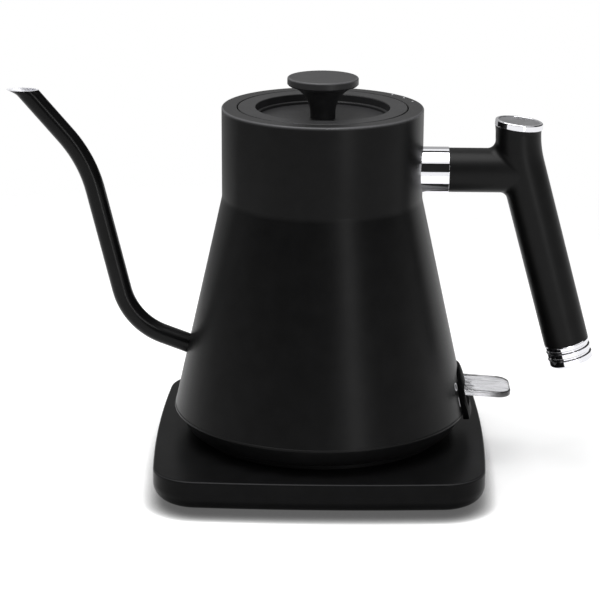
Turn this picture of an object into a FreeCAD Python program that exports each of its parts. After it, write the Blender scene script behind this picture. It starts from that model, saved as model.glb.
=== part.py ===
import FreeCAD, Part
import math
import os

# Electric gooseneck kettle on its square power base, in millimetres.
# The kettle's axis is Z and the worktop is z = 0. The spout points along -X,
# the handle and the switch along +X.

V = FreeCAD.Vector
UP = V(0, 0, 1)
OUT = V(1, 0, 0)
BACK = V(0, 1, 0)
CENTRE = V(0, 0, 0)
NEAR = 1e-4              # points closer than this are the same
FAR = 200.0              # size of a cutting tool that reaches past everything

# Clearances
FIT = 0.05               # between pieces that are fixed together
RUN = 0.05               # radial, between a pin and the hub that turns on it
SEAT = 0.2               # under a piece that only rests on another
SLIP = 0.4               # between pieces that lift or turn past each other
SOFT = 0.5               # small round or bevel on a moulded edge

# Power base
BASE_HALF = 80.0         # from the axis to the middle of a side
BASE_BOW = 3.5           # bulge of a side past the chord of its corners
BASE_CORNER = 21.3       # plan radius of the corners
BASE_HEIGHT = 15.2
BASE_LOWER_ROUND = 8.0
BASE_UPPER_ROUND = 1.0
BASE_WALL = 2.4
BASE_LIP = 1.5           # plain border round the bottom plate
BOTTOM_PLATE = 1.8
FOOT_RADIUS = 7.0
FOOT_STANDOFF = 2.0
FOOT_RECESS = 0.8
FOOT_INSET = 26.0        # foot's middle from the sides
BASE_SCREW_X = 34.0
BASE_SCREW_INSET = 18.0  # from the front and the back
BASE_BOSS_RADIUS = 4.0
GLAND_BORE = 3.3
GLAND_WALL = 1.2
GLAND_FLANGE = 1.6       # width and thickness of the rim outside the wall
GLAND_DEPTH = 8.0
GLAND_Z = 9.0            # above the underside of the base

# Screws
SCREW_RADIUS = 1.5
SCREW_HEAD_RADIUS = 3.0
SCREW_HEAD = 1.2
SCREW_GRIP = 7.0         # length in the boss

# Plug-in connector
POST_FLANGE_RADIUS = 22.5
POST_FLANGE = 2.5
POST_BOSS_RADIUS = 20.0
POST_BOSS_RISE = 0.5
TOWER_RADIUS = 12.0
TOWER_HEIGHT = 13.2
PIN_RADIUS = 3.6
RING_INNER = 7.2
RING_OUTER = 9.0
CONTACT_THICK = 1.5
TOWER_FLOOR = 1.8        # depth of the contacts' seats above the base top
SHUTTER_RADIUS = 18.5
SHUTTER_THICK = 2.4

# Kettle body
RIM_LIFT = 12.3          # lower rim above the base top
RIM_RADIUS = 71.5
TOP_RADIUS = 48.0
CONE_HEIGHT = 104.5
NECK_HEIGHT = 43.7
KINK_ROUND = 10.0
WALL = 0.8

# Cup under the body
CUP_LIFT = 3.4           # flat underside above the base top
CUP_TAPER = 6.0          # flat underside's edge, in from the rim
CUP_INSET = 0.6          # step in from the steel rim
CUP_WALL = 2.2
CUP_UPSTAND = 4.5
FOOT_RING_INSET = 6.5    # in from that edge
FOOT_RING_WIDTH = 4.0
STUD_INSET = 13.5        # in from that edge
STUD_RADIUS = 3.2
STUDS = 3

# Heater and control
HEATER_LIFT = 22.5       # top of the heating plate above the rim
HEATER_THICK = 1.2
SPREADER_GAP = 2.8       # between the spreader's edge and the studs
SPREADER_THICK = 3.0
ELEMENT_INSET = 9.0      # element's line, in from the spreader's edge
ELEMENT_RADIUS = 3.2
ELEMENT_SWEEP = 290.0
TAIL_RADIUS = 1.6
TAIL_LENGTH = 9.0
CONTROL_RADIUS = 25.0
LAMP_SETBACK = 10.0      # end of the lamp's arm, in from the switch pivot
CONTROL_ARM_HALF = 8.0
CONTROL_ARM_THICK = 3.0
CONTROL_ARM_DROP = 15.0  # arm's top below the heating plate's top
BIMETAL_RADIUS = 6.5
BIMETAL_THICK = 0.6
LAMP_RADIUS = 1.5
LAMP_LENGTH = 5.0
STEAM_RADIUS = 3.5
STEAM_WALL = 0.5
STEAM_GAP = 1.5          # between the steam tube and the wall of the neck
STEAM_TOP_DROP = 12.0
STEAM_TAIL = 11.0        # below the heating plate's top

# Collar and lid
COLLAR_LIP = 1.4
COLLAR_ROUND = 0.8
COLLAR_SKIRT = 0.9
COLLAR_DEPTH = 8.0
COLLAR_BAND = 7.3        # flat border round the opening that the lid drops into
LID_SEAT_DROP = 6.2      # ledge below the top
NECK_WALL = 1.8
LEDGE_WIDTH = 4.2
LEDGE_THICK = 1.8
VENTS = 3
VENT_RADIUS = 0.6
VENT_INSET = 2.6
VENT_MIDDLE = 30.4       # degrees from the handle towards the back
VENT_STEP = 11.7
LID_SKIN = 1.6
LID_ROUND = 0.5
LID_BAND = 8.4           # flat border round the lid's recess
RECESS_DEPTH = 5.0
STEP_WIDTH = 1.3
STEP_HEIGHT = 1.5
LINER_THICK = 1.4
LINER_DEPTH = 8.5
GASKET_DEEP = 1.4
KNOB_RADIUS = 16.9
KNOB_DISC = 4.0
KNOB_ROUND = 0.9
KNOB_RISE = 14.3         # knob's top above the lid
STEM_RADIUS = 6.0
FLARE_INSET = 0.7
STEM_STRAIGHT = 2.0
KNOB_SCREW_RADIUS = 2.0
KNOB_SCREW_HEAD = 3.6
KNOB_SCREW_GRIP = 9.0

# Gooseneck spout
SPOUT_RADIUS = 4.7
SPOUT_WALL = 0.8
ELBOW_X = 93.0           # lower corner of the spout's line, from the axis
ELBOW_LIFT = 40.5        # the same corner above the rim
ROOT_RISE = 20.5         # degrees above level
NECK_LEAN = 13.4         # degrees off upright
NECK_LENGTH = 83.2       # between the two corners
TIP_LEAN = 40.4
LOWER_BEND = 32.0
UPPER_BEND = 64.0
MOUTH_LIFT = 155.0       # mouth above the rim
LIP_HEIGHT = 3.0
LIP_REACH = 2.7          # how far the pouring lip stands out
LIP_SPREAD = 0.2

# Handle
ARM_DROP = 30.1          # arm's axis below the top
ARM_RADIUS = 10.6
GRIP_RADIUS = 10.85
STUB_RADIUS = 11.2
STUB_REACH = 45.1        # stub's axis past the neck
GRIP_CROSS = 10.6        # where the grip's line meets the stub's, above the arm's axis
GRIP_LEAN = 15.7
GRIP_BEND = 60.0
GRIP_LENGTH = 99.0
STUB_RISE = 10.65        # stub's end above that meeting point
HANDLE_FILLET = 4.0
CAP_TILT = 5.5
CAP_PROUD = 0.2
CAP_HEIGHT = 3.0
CAP_BORDER = 1.5
CAP_SINK = 0.4
CAP_ROUND = 0.6
END_LENGTH = 11.4
END_ROUND = 1.4
END_GROOVES = 2
END_FIRST = 2.3
END_PITCH = 3.7
GROOVE_WIDTH = 1.6
GROOVE_DEPTH = 0.7
FERRULE_RADIUS = 11.0
FERRULE_LENGTH = 12.3
BOLT_RADIUS = 3.0
BOLT_HEAD_RADIUS = 5.0
BOLT_HEAD = 3.0
BOLT_GRIP = 18.0
SADDLE_RADIUS = 9.0
SADDLE_THICK = 1.5

# Switch
BEZEL_HALF = 17.0
BEZEL_BELOW = 3.3        # past the rim
BEZEL_ABOVE = 22.0
BEZEL_PROUD = 0.9        # past the rim's radius, at the rim
BEZEL_DRAFT = 0.12       # how fast the face leans in with height
BEZEL_TOP_CORNER = 9.0
BEZEL_LOW_CORNER = 3.0
BEZEL_ROUND = 0.6
BEZEL_OVERLAP = 1.4
BEZEL_COLLAR = 1.5       # depth behind the steel wall
EAR_THICK = 2.2
EAR_RADIUS = 4.2
PIVOT_DEPTH = 13.5       # in from the rim's radius
PIVOT_LIFT = 10.8
PIVOT_RADIUS = 1.5
LEVER_WIDTH = 25.0
LEVER_THICK = 3.0
LEVER_ROOT = 2.7         # from the pivot
LEVER_REACH = 35.1
LEVER_CORNER = 7.0
LEVER_ROUND = 0.7
LEVER_DROOP = 4.0        # degrees below level when off
LEVER_TRAVEL = 16.0      # degrees from off to on
ROCKER_HUB = 4.2
ROCKER_NOSE = 6.0
ROCKER_NOSE_HALF = 3.4
ROCKER_TAIL = 7.0
ROCKER_TAIL_HALF = 1.6

# Heights
base_low = FOOT_STANDOFF
base_top = base_low + BASE_HEIGHT
rim_z = base_top + RIM_LIFT
kink_z = rim_z + CONE_HEIGHT
top_z = kink_z + NECK_HEIGHT
cup_z = base_top + CUP_LIFT
heater_z = rim_z + HEATER_LIFT
spreader_z = heater_z - HEATER_THICK
control_z = spreader_z - SPREADER_THICK
shutter_z = base_top + POST_BOSS_RISE + SEAT
socket_z = shutter_z + SHUTTER_THICK + SEAT
tower_top = base_top + TOWER_HEIGHT
contact_z = base_top + TOWER_FLOOR
arm_z = top_z - ARM_DROP
cross_z = arm_z + GRIP_CROSS
pivot_z = rim_z + PIVOT_LIFT

# Places across, from the axis
cup_low_radius = RIM_RADIUS - CUP_TAPER
stud_circle = cup_low_radius - STUD_INSET
spreader_radius = stud_circle - STUD_RADIUS - SPREADER_GAP
element_ring = spreader_radius - ELEMENT_INSET
pivot_x = RIM_RADIUS - PIVOT_DEPTH
lamp_arm_end = pivot_x - LAMP_SETBACK
stub_x = TOP_RADIUS + STUB_REACH
lid_mouth = TOP_RADIUS - COLLAR_BAND
lid_radius = lid_mouth - SLIP
recess_radius = lid_radius - LID_BAND
steam_axis = TOP_RADIUS - WALL - STEAM_GAP - STEAM_RADIUS


def cone_radius(z):
    # outside of the steel cone at height z
    return RIM_RADIUS - (RIM_RADIUS - TOP_RADIUS) * (z - rim_z) / CONE_HEIGHT


def rounded_wire(corners):
    # closed wire in the XZ plane; a corner is (x, z) or (x, z, radius of its round)
    points = [V(c[0], 0, c[1]) for c in corners]
    rounds = [c[2] if len(c) > 2 else 0.0 for c in corners]
    starts = []
    ends = []
    middles = []
    for i, corner in enumerate(points):
        before = (points[i - 1] - corner).normalize()
        after = (points[(i + 1) % len(points)] - corner).normalize()
        half = before.getAngle(after) / 2
        reach = rounds[i] / math.tan(half)
        starts.append(corner + before * reach)
        ends.append(corner + after * reach)
        inward = before + after
        middle = corner
        if rounds[i]:
            middle = corner + inward.normalize() * (rounds[i] / math.sin(half) - rounds[i])
        middles.append(middle)
    edges = []
    for i in range(len(points)):
        if rounds[i]:
            edges.append(Part.Arc(starts[i], middles[i], ends[i]).toShape())
        following = starts[(i + 1) % len(points)]
        if (following - ends[i]).Length > NEAR:
            edges.append(Part.LineSegment(ends[i], following).toShape())
    return Part.Wire(edges)


def turned(corners):
    # solid of revolution about Z from corners (radius, height)
    return Part.Face(rounded_wire(corners)).revolve(CENTRE, UP, 360)


def placed(shape, point, direction):
    # moves a shape that was made about Z so that Z lies along direction at point
    copy = shape.copy()
    copy.Placement = FreeCAD.Placement(point, FreeCAD.Rotation(UP, direction))
    return copy


def rod(radius, start, direction, length):
    return Part.makeCylinder(radius, length, start, direction)


def ring_at(points, make):
    # one compound from the same piece at several places
    return Part.makeCompound([make(x, y) for x, y in points])


def mirrored_points(x, y):
    return [(x, y), (-x, y), (-x, -y), (x, -y)]


def around(count, radius, first):
    step = 2 * math.pi / count
    angles = [math.radians(first) + i * step for i in range(count)]
    return [(radius * math.cos(a), radius * math.sin(a)) for a in angles]


def upright_slab(corners, half_width):
    # XZ outline pushed out to both sides of the Y = 0 plane
    face = Part.Face(rounded_wire(corners))
    face.translate(BACK * -half_width)
    return face.extrude(BACK * (2 * half_width))


def side_window(half_width, low, high, top_corner, low_corner, x_from, x_to):
    # rounded opening in the YZ plane, pushed along X
    corners = [
        (-half_width, low, low_corner),
        (half_width, low, low_corner),
        (half_width, high, top_corner),
        (-half_width, high, top_corner),
    ]
    face = Part.Face(rounded_wire(corners))
    face.rotate(CENTRE, UP, 90)
    face.translate(OUT * x_from)
    return face.extrude(OUT * (x_to - x_from))


# Power base

def base_outline(inset, z):
    # four bowed sides joined by tangent corner arcs, set in from the outer wall
    side = (BASE_HALF ** 2 + BASE_BOW ** 2) / (2 * BASE_BOW)
    offset = side - BASE_HALF
    centre = (math.sqrt(2 * (side - BASE_CORNER) ** 2 - offset ** 2) - offset) / 2
    turn = math.atan2(centre, centre + offset)
    radius = side - inset
    corner = BASE_CORNER - inset
    edges = []
    for quarter in range(4):
        spin = FreeCAD.Rotation(UP, 90 * quarter)
        side_points = [V(radius * math.cos(a) - offset, radius * math.sin(a), z)
                       for a in (-turn, 0, turn)]
        corner_points = [V(centre + corner * math.cos(a), centre + corner * math.sin(a), z)
                         for a in (turn, math.pi / 4, math.pi / 2 - turn)]
        for points in (side_points, corner_points):
            edges.append(Part.Arc(*[spin.multVec(p) for p in points]).toShape())
    return Part.Wire(edges)


def base_slab(inset, low, high):
    return Part.Face(base_outline(inset, low)).extrude(UP * (high - low))


def level_edges(shape, z):
    return [e for e in shape.Edges if e.BoundBox.ZMin > z - NEAR and e.BoundBox.ZMax < z + NEAR]


plate_inset = BASE_LOWER_ROUND + BASE_LIP
ceiling_z = base_top - BASE_WALL
plate_z = base_low + BOTTOM_PLATE
foot_at = BASE_HALF - FOOT_INSET
base_screw_points = mirrored_points(BASE_SCREW_X, BASE_HALF - BASE_SCREW_INSET)
foot_points = mirrored_points(foot_at, foot_at)
gland_z = base_low + GLAND_Z


def base_cover():
    outer = base_slab(0, base_low, base_top)
    outer = outer.makeFillet(BASE_LOWER_ROUND, level_edges(outer, base_low))
    outer = outer.makeFillet(BASE_UPPER_ROUND, level_edges(outer, base_top))
    floor_z = base_low + BASE_WALL
    cavity = base_slab(BASE_WALL, floor_z, ceiling_z)
    cavity = cavity.makeFillet(BASE_LOWER_ROUND - BASE_WALL, level_edges(cavity, floor_z))
    opening = base_slab(plate_inset, base_low, floor_z)
    shell = outer.cut([cavity, opening])
    bosses = [rod(BASE_BOSS_RADIUS, V(x, y, plate_z), UP, ceiling_z - plate_z)
              for x, y in base_screw_points]
    shell = shell.fuse(bosses)
    holes = [rod(SCREW_RADIUS + FIT, V(x, y, plate_z), UP, SCREW_GRIP + SLIP)
             for x, y in base_screw_points]
    holes.append(rod(POST_BOSS_RADIUS + FIT, V(0, 0, ceiling_z), UP, BASE_WALL))
    holes.append(rod(GLAND_BORE + GLAND_WALL + FIT, V(0, 0, gland_z), BACK, BASE_HALF))
    return shell.cut(holes)


def base_plate():
    plate = base_slab(plate_inset + FIT, base_low, plate_z)
    cuts = [rod(FOOT_RADIUS + FIT, V(x, y, base_low), UP, FOOT_RECESS) for x, y in foot_points]
    for x, y in base_screw_points:
        cuts.append(rod(SCREW_RADIUS + FIT, V(x, y, base_low), UP, BOTTOM_PLATE))
        cuts.append(rod(SCREW_HEAD_RADIUS + FIT, V(x, y, base_low), UP, SCREW_HEAD))
    return plate.cut(cuts)


def base_feet():
    top = base_low + FOOT_RECESS
    foot = turned([(0, 0), (FOOT_RADIUS - SOFT, 0), (FOOT_RADIUS, SOFT), (FOOT_RADIUS, top), (0, top)])
    return ring_at(foot_points, lambda x, y: foot.translated(V(x, y, 0)))


def screw(grip):
    # headed screw pointing up, with the underside of its head at z = 0
    return turned([
        (0, -SCREW_HEAD),
        (SCREW_HEAD_RADIUS, -SCREW_HEAD),
        (SCREW_HEAD_RADIUS, 0),
        (SCREW_RADIUS, 0),
        (SCREW_RADIUS, grip),
        (0, grip),
    ])


def base_screws():
    one = screw(plate_z - base_low - SCREW_HEAD + SCREW_GRIP)
    seat = base_low + SCREW_HEAD
    return ring_at(base_screw_points, lambda x, y: one.translated(V(x, y, seat)))


def connector_post():
    boss_z = base_top + POST_BOSS_RISE
    post = turned([
        (0, ceiling_z - POST_FLANGE),
        (POST_FLANGE_RADIUS, ceiling_z - POST_FLANGE),
        (POST_FLANGE_RADIUS, ceiling_z),
        (POST_BOSS_RADIUS, ceiling_z),
        (POST_BOSS_RADIUS, boss_z),
        (TOWER_RADIUS, boss_z),
        (TOWER_RADIUS, tower_top, COLLAR_ROUND),
        (0, tower_top),
    ])
    depth = tower_top - contact_z
    eye = rod(PIN_RADIUS + SLIP, V(0, 0, contact_z), UP, depth)
    groove = rod(RING_OUTER + SLIP, V(0, 0, contact_z), UP, depth)
    groove = groove.cut(rod(RING_INNER - SLIP, V(0, 0, contact_z), UP, depth))
    return post.cut([eye, groove])


def connector_contacts():
    disc = rod(PIN_RADIUS + SLIP - FIT, V(0, 0, contact_z), UP, CONTACT_THICK)
    ring = rod(RING_OUTER + SLIP - FIT, V(0, 0, contact_z), UP, CONTACT_THICK)
    ring = ring.cut(rod(RING_INNER - SLIP + FIT, V(0, 0, contact_z), UP, CONTACT_THICK))
    return Part.makeCompound([disc, ring])


def connector_shutter():
    inner = TOWER_RADIUS + SLIP
    high = shutter_z + SHUTTER_THICK
    return turned([
        (inner, shutter_z),
        (SHUTTER_RADIUS, shutter_z),
        (SHUTTER_RADIUS, high - SOFT),
        (SHUTTER_RADIUS - SOFT, high),
        (inner + SOFT, high),
        (inner, high - SOFT),
    ])


def cord_gland():
    # plain bush in the rear wall: the lead itself is not part of this object
    outer = GLAND_BORE + GLAND_WALL
    profile = [
        (GLAND_BORE, -GLAND_DEPTH),
        (outer, -GLAND_DEPTH),
        (outer, 0),
        (outer + GLAND_FLANGE, 0),
        (outer + GLAND_FLANGE, GLAND_FLANGE - SOFT),
        (outer + GLAND_FLANGE - SOFT, GLAND_FLANGE),
        (GLAND_BORE, GLAND_FLANGE),
    ]
    return placed(turned(profile), V(0, BASE_HALF, gland_z), BACK)


# Kettle body

def body_solid(shrink):
    # the steel body as a full solid, its wall set in by shrink
    return turned([
        (0, rim_z),
        (RIM_RADIUS - shrink, rim_z),
        (TOP_RADIUS - shrink, kink_z, KINK_ROUND),
        (TOP_RADIUS - shrink, top_z - COLLAR_LIP),
        (0, top_z - COLLAR_LIP),
    ])


ledge_z = top_z - LID_SEAT_DROP
window_half = BEZEL_HALF - BEZEL_OVERLAP
window_low = rim_z + BEZEL_OVERLAP
window_high = rim_z + BEZEL_ABOVE - BEZEL_OVERLAP
window_corner = BEZEL_TOP_CORNER - BEZEL_OVERLAP
stud_points = around(STUDS, stud_circle, 180)


def body_shell():
    shell = body_solid(0).cut(body_solid(WALL))
    window = side_window(window_half, window_low, window_high, window_corner, BEZEL_LOW_CORNER,
                         0, RIM_RADIUS)
    bolt_hole = rod(BOLT_RADIUS + FIT, V(0, 0, arm_z), OUT, TOP_RADIUS)
    return shell.cut([window, bolt_hole, spout_run(SPOUT_RADIUS + FIT)])


def rim_collar():
    skirt = TOP_RADIUS - WALL - FIT
    lip_low = top_z - COLLAR_LIP
    ledge_low = ledge_z - LEDGE_THICK
    neck = lid_mouth + NECK_WALL
    collar = turned([
        (skirt, lip_low),
        (TOP_RADIUS, lip_low),
        (TOP_RADIUS, top_z, COLLAR_ROUND),
        (lid_mouth, top_z, LID_ROUND),
        (lid_mouth, ledge_z),
        (lid_mouth - LEDGE_WIDTH, ledge_z),
        (lid_mouth - LEDGE_WIDTH, ledge_low),
        (neck, ledge_low),
        (neck, lip_low),
        (skirt - COLLAR_SKIRT, lip_low),
        (skirt - COLLAR_SKIRT, top_z - COLLAR_DEPTH),
        (skirt, top_z - COLLAR_DEPTH),
    ])
    vents = []
    for i in range(VENTS):
        angle = math.radians(VENT_MIDDLE + (i - (VENTS - 1) / 2) * VENT_STEP)
        reach = TOP_RADIUS - VENT_INSET
        foot = V(reach * math.cos(angle), reach * math.sin(angle), lip_low)
        vents.append(rod(VENT_RADIUS, foot, UP, COLLAR_LIP))
    return collar.cut(vents)


def base_cup():
    ring_middle = cup_low_radius - FOOT_RING_INSET
    ring_in = ring_middle - FOOT_RING_WIDTH / 2
    ring_out = ring_middle + FOOT_RING_WIDTH / 2
    ring_low = base_top + SEAT
    shoulder = RIM_RADIUS - CUP_INSET
    upstand_z = rim_z + CUP_UPSTAND
    inner_floor = cup_z + CUP_WALL
    cup = turned([
        (CONTROL_RADIUS + FIT, cup_z),
        (ring_in, cup_z),
        (ring_in, ring_low),
        (ring_out, ring_low),
        (ring_out, cup_z),
        (cup_low_radius, cup_z, CUP_WALL),
        (shoulder, rim_z),
        (RIM_RADIUS - WALL - FIT, rim_z),
        (cone_radius(upstand_z) - WALL - FIT, upstand_z),
        (cone_radius(upstand_z) - WALL - FIT - CUP_WALL, upstand_z),
        (RIM_RADIUS - WALL - FIT - CUP_WALL, rim_z),
        (cup_low_radius - CUP_WALL, inner_floor),
        (CONTROL_RADIUS + FIT, inner_floor),
    ])
    gate = side_window(window_half + FIT, rim_z, heater_z, FIT, FIT, pivot_x, RIM_RADIUS)
    cuts = [gate]
    for x, y in stud_points:
        cuts.append(rod(SCREW_RADIUS + FIT, V(x, y, cup_z), UP, CUP_WALL))
        cuts.append(rod(SCREW_HEAD_RADIUS + FIT, V(x, y, cup_z), UP, SCREW_HEAD))
    return cup.cut(cuts)


def weld_studs():
    low = cup_z + CUP_WALL
    stud = rod(STUD_RADIUS, V(0, 0, low), UP, spreader_z - low)
    stud = stud.cut(rod(SCREW_RADIUS + FIT, V(0, 0, low), UP, SCREW_GRIP + SLIP))
    return ring_at(stud_points, lambda x, y: stud.translated(V(x, y, 0)))


def cup_screws():
    one = screw(CUP_WALL - SCREW_HEAD + SCREW_GRIP)
    seat = cup_z + SCREW_HEAD
    return ring_at(stud_points, lambda x, y: one.translated(V(x, y, seat)))


# Heater and control

steam_way = FreeCAD.Rotation(UP, VENT_MIDDLE).multVec(OUT)
steam_at = steam_way * steam_axis
shelf_z = heater_z - CONTROL_ARM_DROP


def steam_rod(radius, low, high):
    # upright bar on the steam tube's line
    return rod(radius, steam_at + UP * low, UP, high - low)


def heating_plate():
    plate = turned([
        (0, spreader_z),
        (cone_radius(spreader_z) - WALL - FIT, spreader_z),
        (cone_radius(heater_z) - WALL - FIT, heater_z),
        (0, heater_z),
    ])
    return plate.cut(steam_rod(STEAM_RADIUS + FIT, spreader_z, heater_z))


def heat_spreader():
    disc = rod(spreader_radius, V(0, 0, control_z), UP, SPREADER_THICK)
    return disc.cut(steam_rod(STEAM_RADIUS + SLIP, control_z, spreader_z))


def heating_element():
    # open ring under the spreader, with a pin on each end; the steam tube passes its opening
    level = control_z - ELEMENT_RADIUS - FIT
    gap = (360 - ELEMENT_SWEEP) / 2
    start = FreeCAD.Rotation(UP, gap).multVec(OUT) * element_ring + UP * level
    along = FreeCAD.Rotation(UP, gap).multVec(BACK)
    face = Part.Face(Part.Wire(Part.makeCircle(ELEMENT_RADIUS, start, along)))
    ring = face.revolve(CENTRE, UP, ELEMENT_SWEEP)
    tails = [rod(TAIL_RADIUS, start, along * -1, TAIL_LENGTH)]
    tails.append(tails[0].mirror(CENTRE, BACK))
    element = ring.fuse(tails)
    element.rotate(CENTRE, UP, VENT_MIDDLE)
    return element


def control_arm(reach):
    # level arm from the axis along +X
    corner = V(0, -CONTROL_ARM_HALF, shelf_z - CONTROL_ARM_THICK)
    return Part.makeBox(reach, 2 * CONTROL_ARM_HALF, CONTROL_ARM_THICK, corner)


def control_unit():
    socket_top = tower_top + SLIP
    unit = turned([
        (TOWER_RADIUS + SLIP, socket_z),
        (CONTROL_RADIUS, socket_z),
        (CONTROL_RADIUS, control_z),
        (0, control_z),
        (0, socket_top),
        (TOWER_RADIUS + SLIP, socket_top),
    ])
    steam_arm = control_arm(steam_axis + BIMETAL_RADIUS)
    steam_arm.rotate(CENTRE, UP, VENT_MIDDLE)
    return unit.fuse([control_arm(lamp_arm_end), steam_arm]).removeSplitter()


def contact_pin(radius):
    low = contact_z + CONTACT_THICK + SLIP
    return rod(radius, V(0, 0, low), UP, tower_top + SLIP - low)


def earth_pin():
    return contact_pin(PIN_RADIUS)


def contact_ring():
    return contact_pin(RING_OUTER).cut(contact_pin(RING_INNER))


def bimetal_disc():
    # snap disc on the shelf under the steam tube
    return rod(BIMETAL_RADIUS, steam_at + UP * shelf_z, UP, BIMETAL_THICK)


def indicator_lamp():
    level = shelf_z - CONTROL_ARM_THICK / 2
    lamp = turned([
        (0, 0),
        (LAMP_RADIUS, 0),
        (LAMP_RADIUS, LAMP_LENGTH, LAMP_RADIUS),
        (0, LAMP_LENGTH),
    ])
    return placed(lamp, V(lamp_arm_end, 0, level), OUT)


def steam_tube():
    low = heater_z - STEAM_TAIL
    high = top_z - STEAM_TOP_DROP
    return steam_rod(STEAM_RADIUS, low, high).cut(steam_rod(STEAM_RADIUS - STEAM_WALL, low, high))


# Lid

liner_z = ledge_z + SEAT
recess_z = top_z - RECESS_DEPTH
plug_radius = lid_mouth - LEDGE_WIDTH - SLIP - GASKET_DEEP


def lid_cover():
    step_z = recess_z + STEP_HEIGHT
    floor_low = recess_z - LID_SKIN
    skirt_low = liner_z + LINER_THICK
    hole = KNOB_SCREW_RADIUS + FIT
    return turned([
        (hole, floor_low),
        (recess_radius - STEP_WIDTH + LID_SKIN, floor_low),
        (recess_radius - STEP_WIDTH + LID_SKIN, top_z - LID_SKIN),
        (lid_radius - LID_SKIN, top_z - LID_SKIN),
        (lid_radius - LID_SKIN, skirt_low),
        (lid_radius, skirt_low),
        (lid_radius, top_z, LID_ROUND),
        (recess_radius, top_z, LID_ROUND),
        (recess_radius, step_z),
        (recess_radius - STEP_WIDTH, step_z, LID_ROUND),
        (recess_radius - STEP_WIDTH, recess_z),
        (hole, recess_z),
    ])


def lid_liner():
    # dished plug under the lid, hung from its rim on the collar's ledge
    low = liner_z - LINER_DEPTH
    return turned([
        (0, low),
        (plug_radius, low, LINER_THICK),
        (plug_radius, liner_z),
        (lid_radius, liner_z),
        (lid_radius, liner_z + LINER_THICK),
        (plug_radius - LINER_THICK, liner_z + LINER_THICK),
        (plug_radius - LINER_THICK, low + LINER_THICK),
        (0, low + LINER_THICK),
    ])


def lid_gasket():
    # two soft lips round the plug, facing the collar's ledge
    inner = plug_radius + FIT
    outer = plug_radius + GASKET_DEEP
    high = liner_z
    low = high - SEAT - LEDGE_THICK
    step = (high - low) / 5
    waist = outer - GASKET_DEEP / 2
    return turned([
        (inner, low),
        (outer, low),
        (outer, low + 2 * step),
        (waist, low + 2 * step),
        (waist, low + 3 * step),
        (outer, low + 3 * step),
        (outer, high),
        (inner, high),
    ])


def lid_knob():
    knob_top = top_z + KNOB_RISE
    disc_z = knob_top - KNOB_DISC
    stem_z = recess_z + STEM_STRAIGHT
    flare = V(KNOB_RADIUS - FLARE_INSET, 0, disc_z)
    stem = V(STEM_RADIUS, 0, stem_z)
    run = flare.x - stem.x
    rise = flare.z - stem.z
    radius = (run ** 2 + rise ** 2) / (2 * run)
    turn = math.asin(rise / radius) / 2
    middle = stem + V(radius * (1 - math.cos(turn)), 0, radius * math.sin(turn))
    side = KNOB_RADIUS - KNOB_ROUND
    edge = KNOB_ROUND * (1 - math.sqrt(0.5))
    edges = [
        Part.LineSegment(V(0, 0, recess_z), V(STEM_RADIUS, 0, recess_z)).toShape(),
        Part.LineSegment(V(STEM_RADIUS, 0, recess_z), stem).toShape(),
        Part.Arc(stem, middle, flare).toShape(),
        Part.LineSegment(flare, V(KNOB_RADIUS, 0, disc_z + FLARE_INSET)).toShape(),
        Part.LineSegment(V(KNOB_RADIUS, 0, disc_z + FLARE_INSET),
                         V(KNOB_RADIUS, 0, knob_top - KNOB_ROUND)).toShape(),
        Part.Arc(V(KNOB_RADIUS, 0, knob_top - KNOB_ROUND), V(KNOB_RADIUS - edge, 0, knob_top - edge),
                 V(side, 0, knob_top)).toShape(),
        Part.LineSegment(V(side, 0, knob_top), V(0, 0, knob_top)).toShape(),
        Part.LineSegment(V(0, 0, knob_top), V(0, 0, recess_z)).toShape(),
    ]
    knob = Part.Face(Part.Wire(edges)).revolve(CENTRE, UP, 360)
    return knob.cut(rod(KNOB_SCREW_RADIUS + FIT, V(0, 0, recess_z), UP, KNOB_SCREW_GRIP + SLIP))


def knob_screw():
    seat = recess_z - LID_SKIN
    return turned([
        (0, seat - SCREW_HEAD),
        (KNOB_SCREW_HEAD, seat - SCREW_HEAD),
        (KNOB_SCREW_HEAD, seat),
        (KNOB_SCREW_RADIUS, seat),
        (KNOB_SCREW_RADIUS, recess_z + KNOB_SCREW_GRIP),
        (0, recess_z + KNOB_SCREW_GRIP),
    ])


# Gooseneck spout

def heading(degrees):
    # direction in the spout's plane, towards -X, at an angle above level
    angle = math.radians(degrees)
    return V(-math.cos(angle), 0, math.sin(angle))


mouth_z = rim_z + MOUTH_LIFT
lip_z = mouth_z - LIP_HEIGHT
root_way = heading(ROOT_RISE)
neck_way = heading(90 - NECK_LEAN)
tip_way = heading(90 - TIP_LEAN)
elbow = V(-ELBOW_X, 0, rim_z + ELBOW_LIFT)
knee = elbow + neck_way * NECK_LENGTH


def tip_point(z):
    # point of the last straight stretch's axis at height z
    return knee + tip_way * ((z - knee.z) / tip_way.z)


def spout_run(radius):
    # solid round bar along the spout's line, from inside the body to past the mouth
    ways = [root_way, neck_way, tip_way]
    bends = [(elbow, LOWER_BEND), (knee, UPPER_BEND)]
    at = elbow - root_way * (elbow.x / root_way.x / 2)
    lengths = []
    for (corner, bend), before, after in zip(bends, ways, ways[1:]):
        turn = before.getAngle(after)
        reach = bend * math.tan(turn / 2)
        first = corner - before * reach
        lengths.append(rod(radius, at, before, (first - at).Length))
        axis = before.cross(after).normalize()
        section = Part.Face(Part.Wire(Part.makeCircle(radius, first, before)))
        lengths.append(section.revolve(first + axis.cross(before) * bend, axis, math.degrees(turn)))
        at = corner + after * reach
    past = tip_point(mouth_z + SPOUT_RADIUS)
    lengths.append(rod(radius, at, tip_way, (past - at).Length))
    return lengths[0].fuse(lengths[1:]).removeSplitter()


def level_ellipse(x, z, half_x, half_y):
    curve = Part.Ellipse(V(x - half_x, 0, z), V(x, half_y, z), V(x, 0, z))
    return Part.Wire(curve.toShape())


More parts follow.
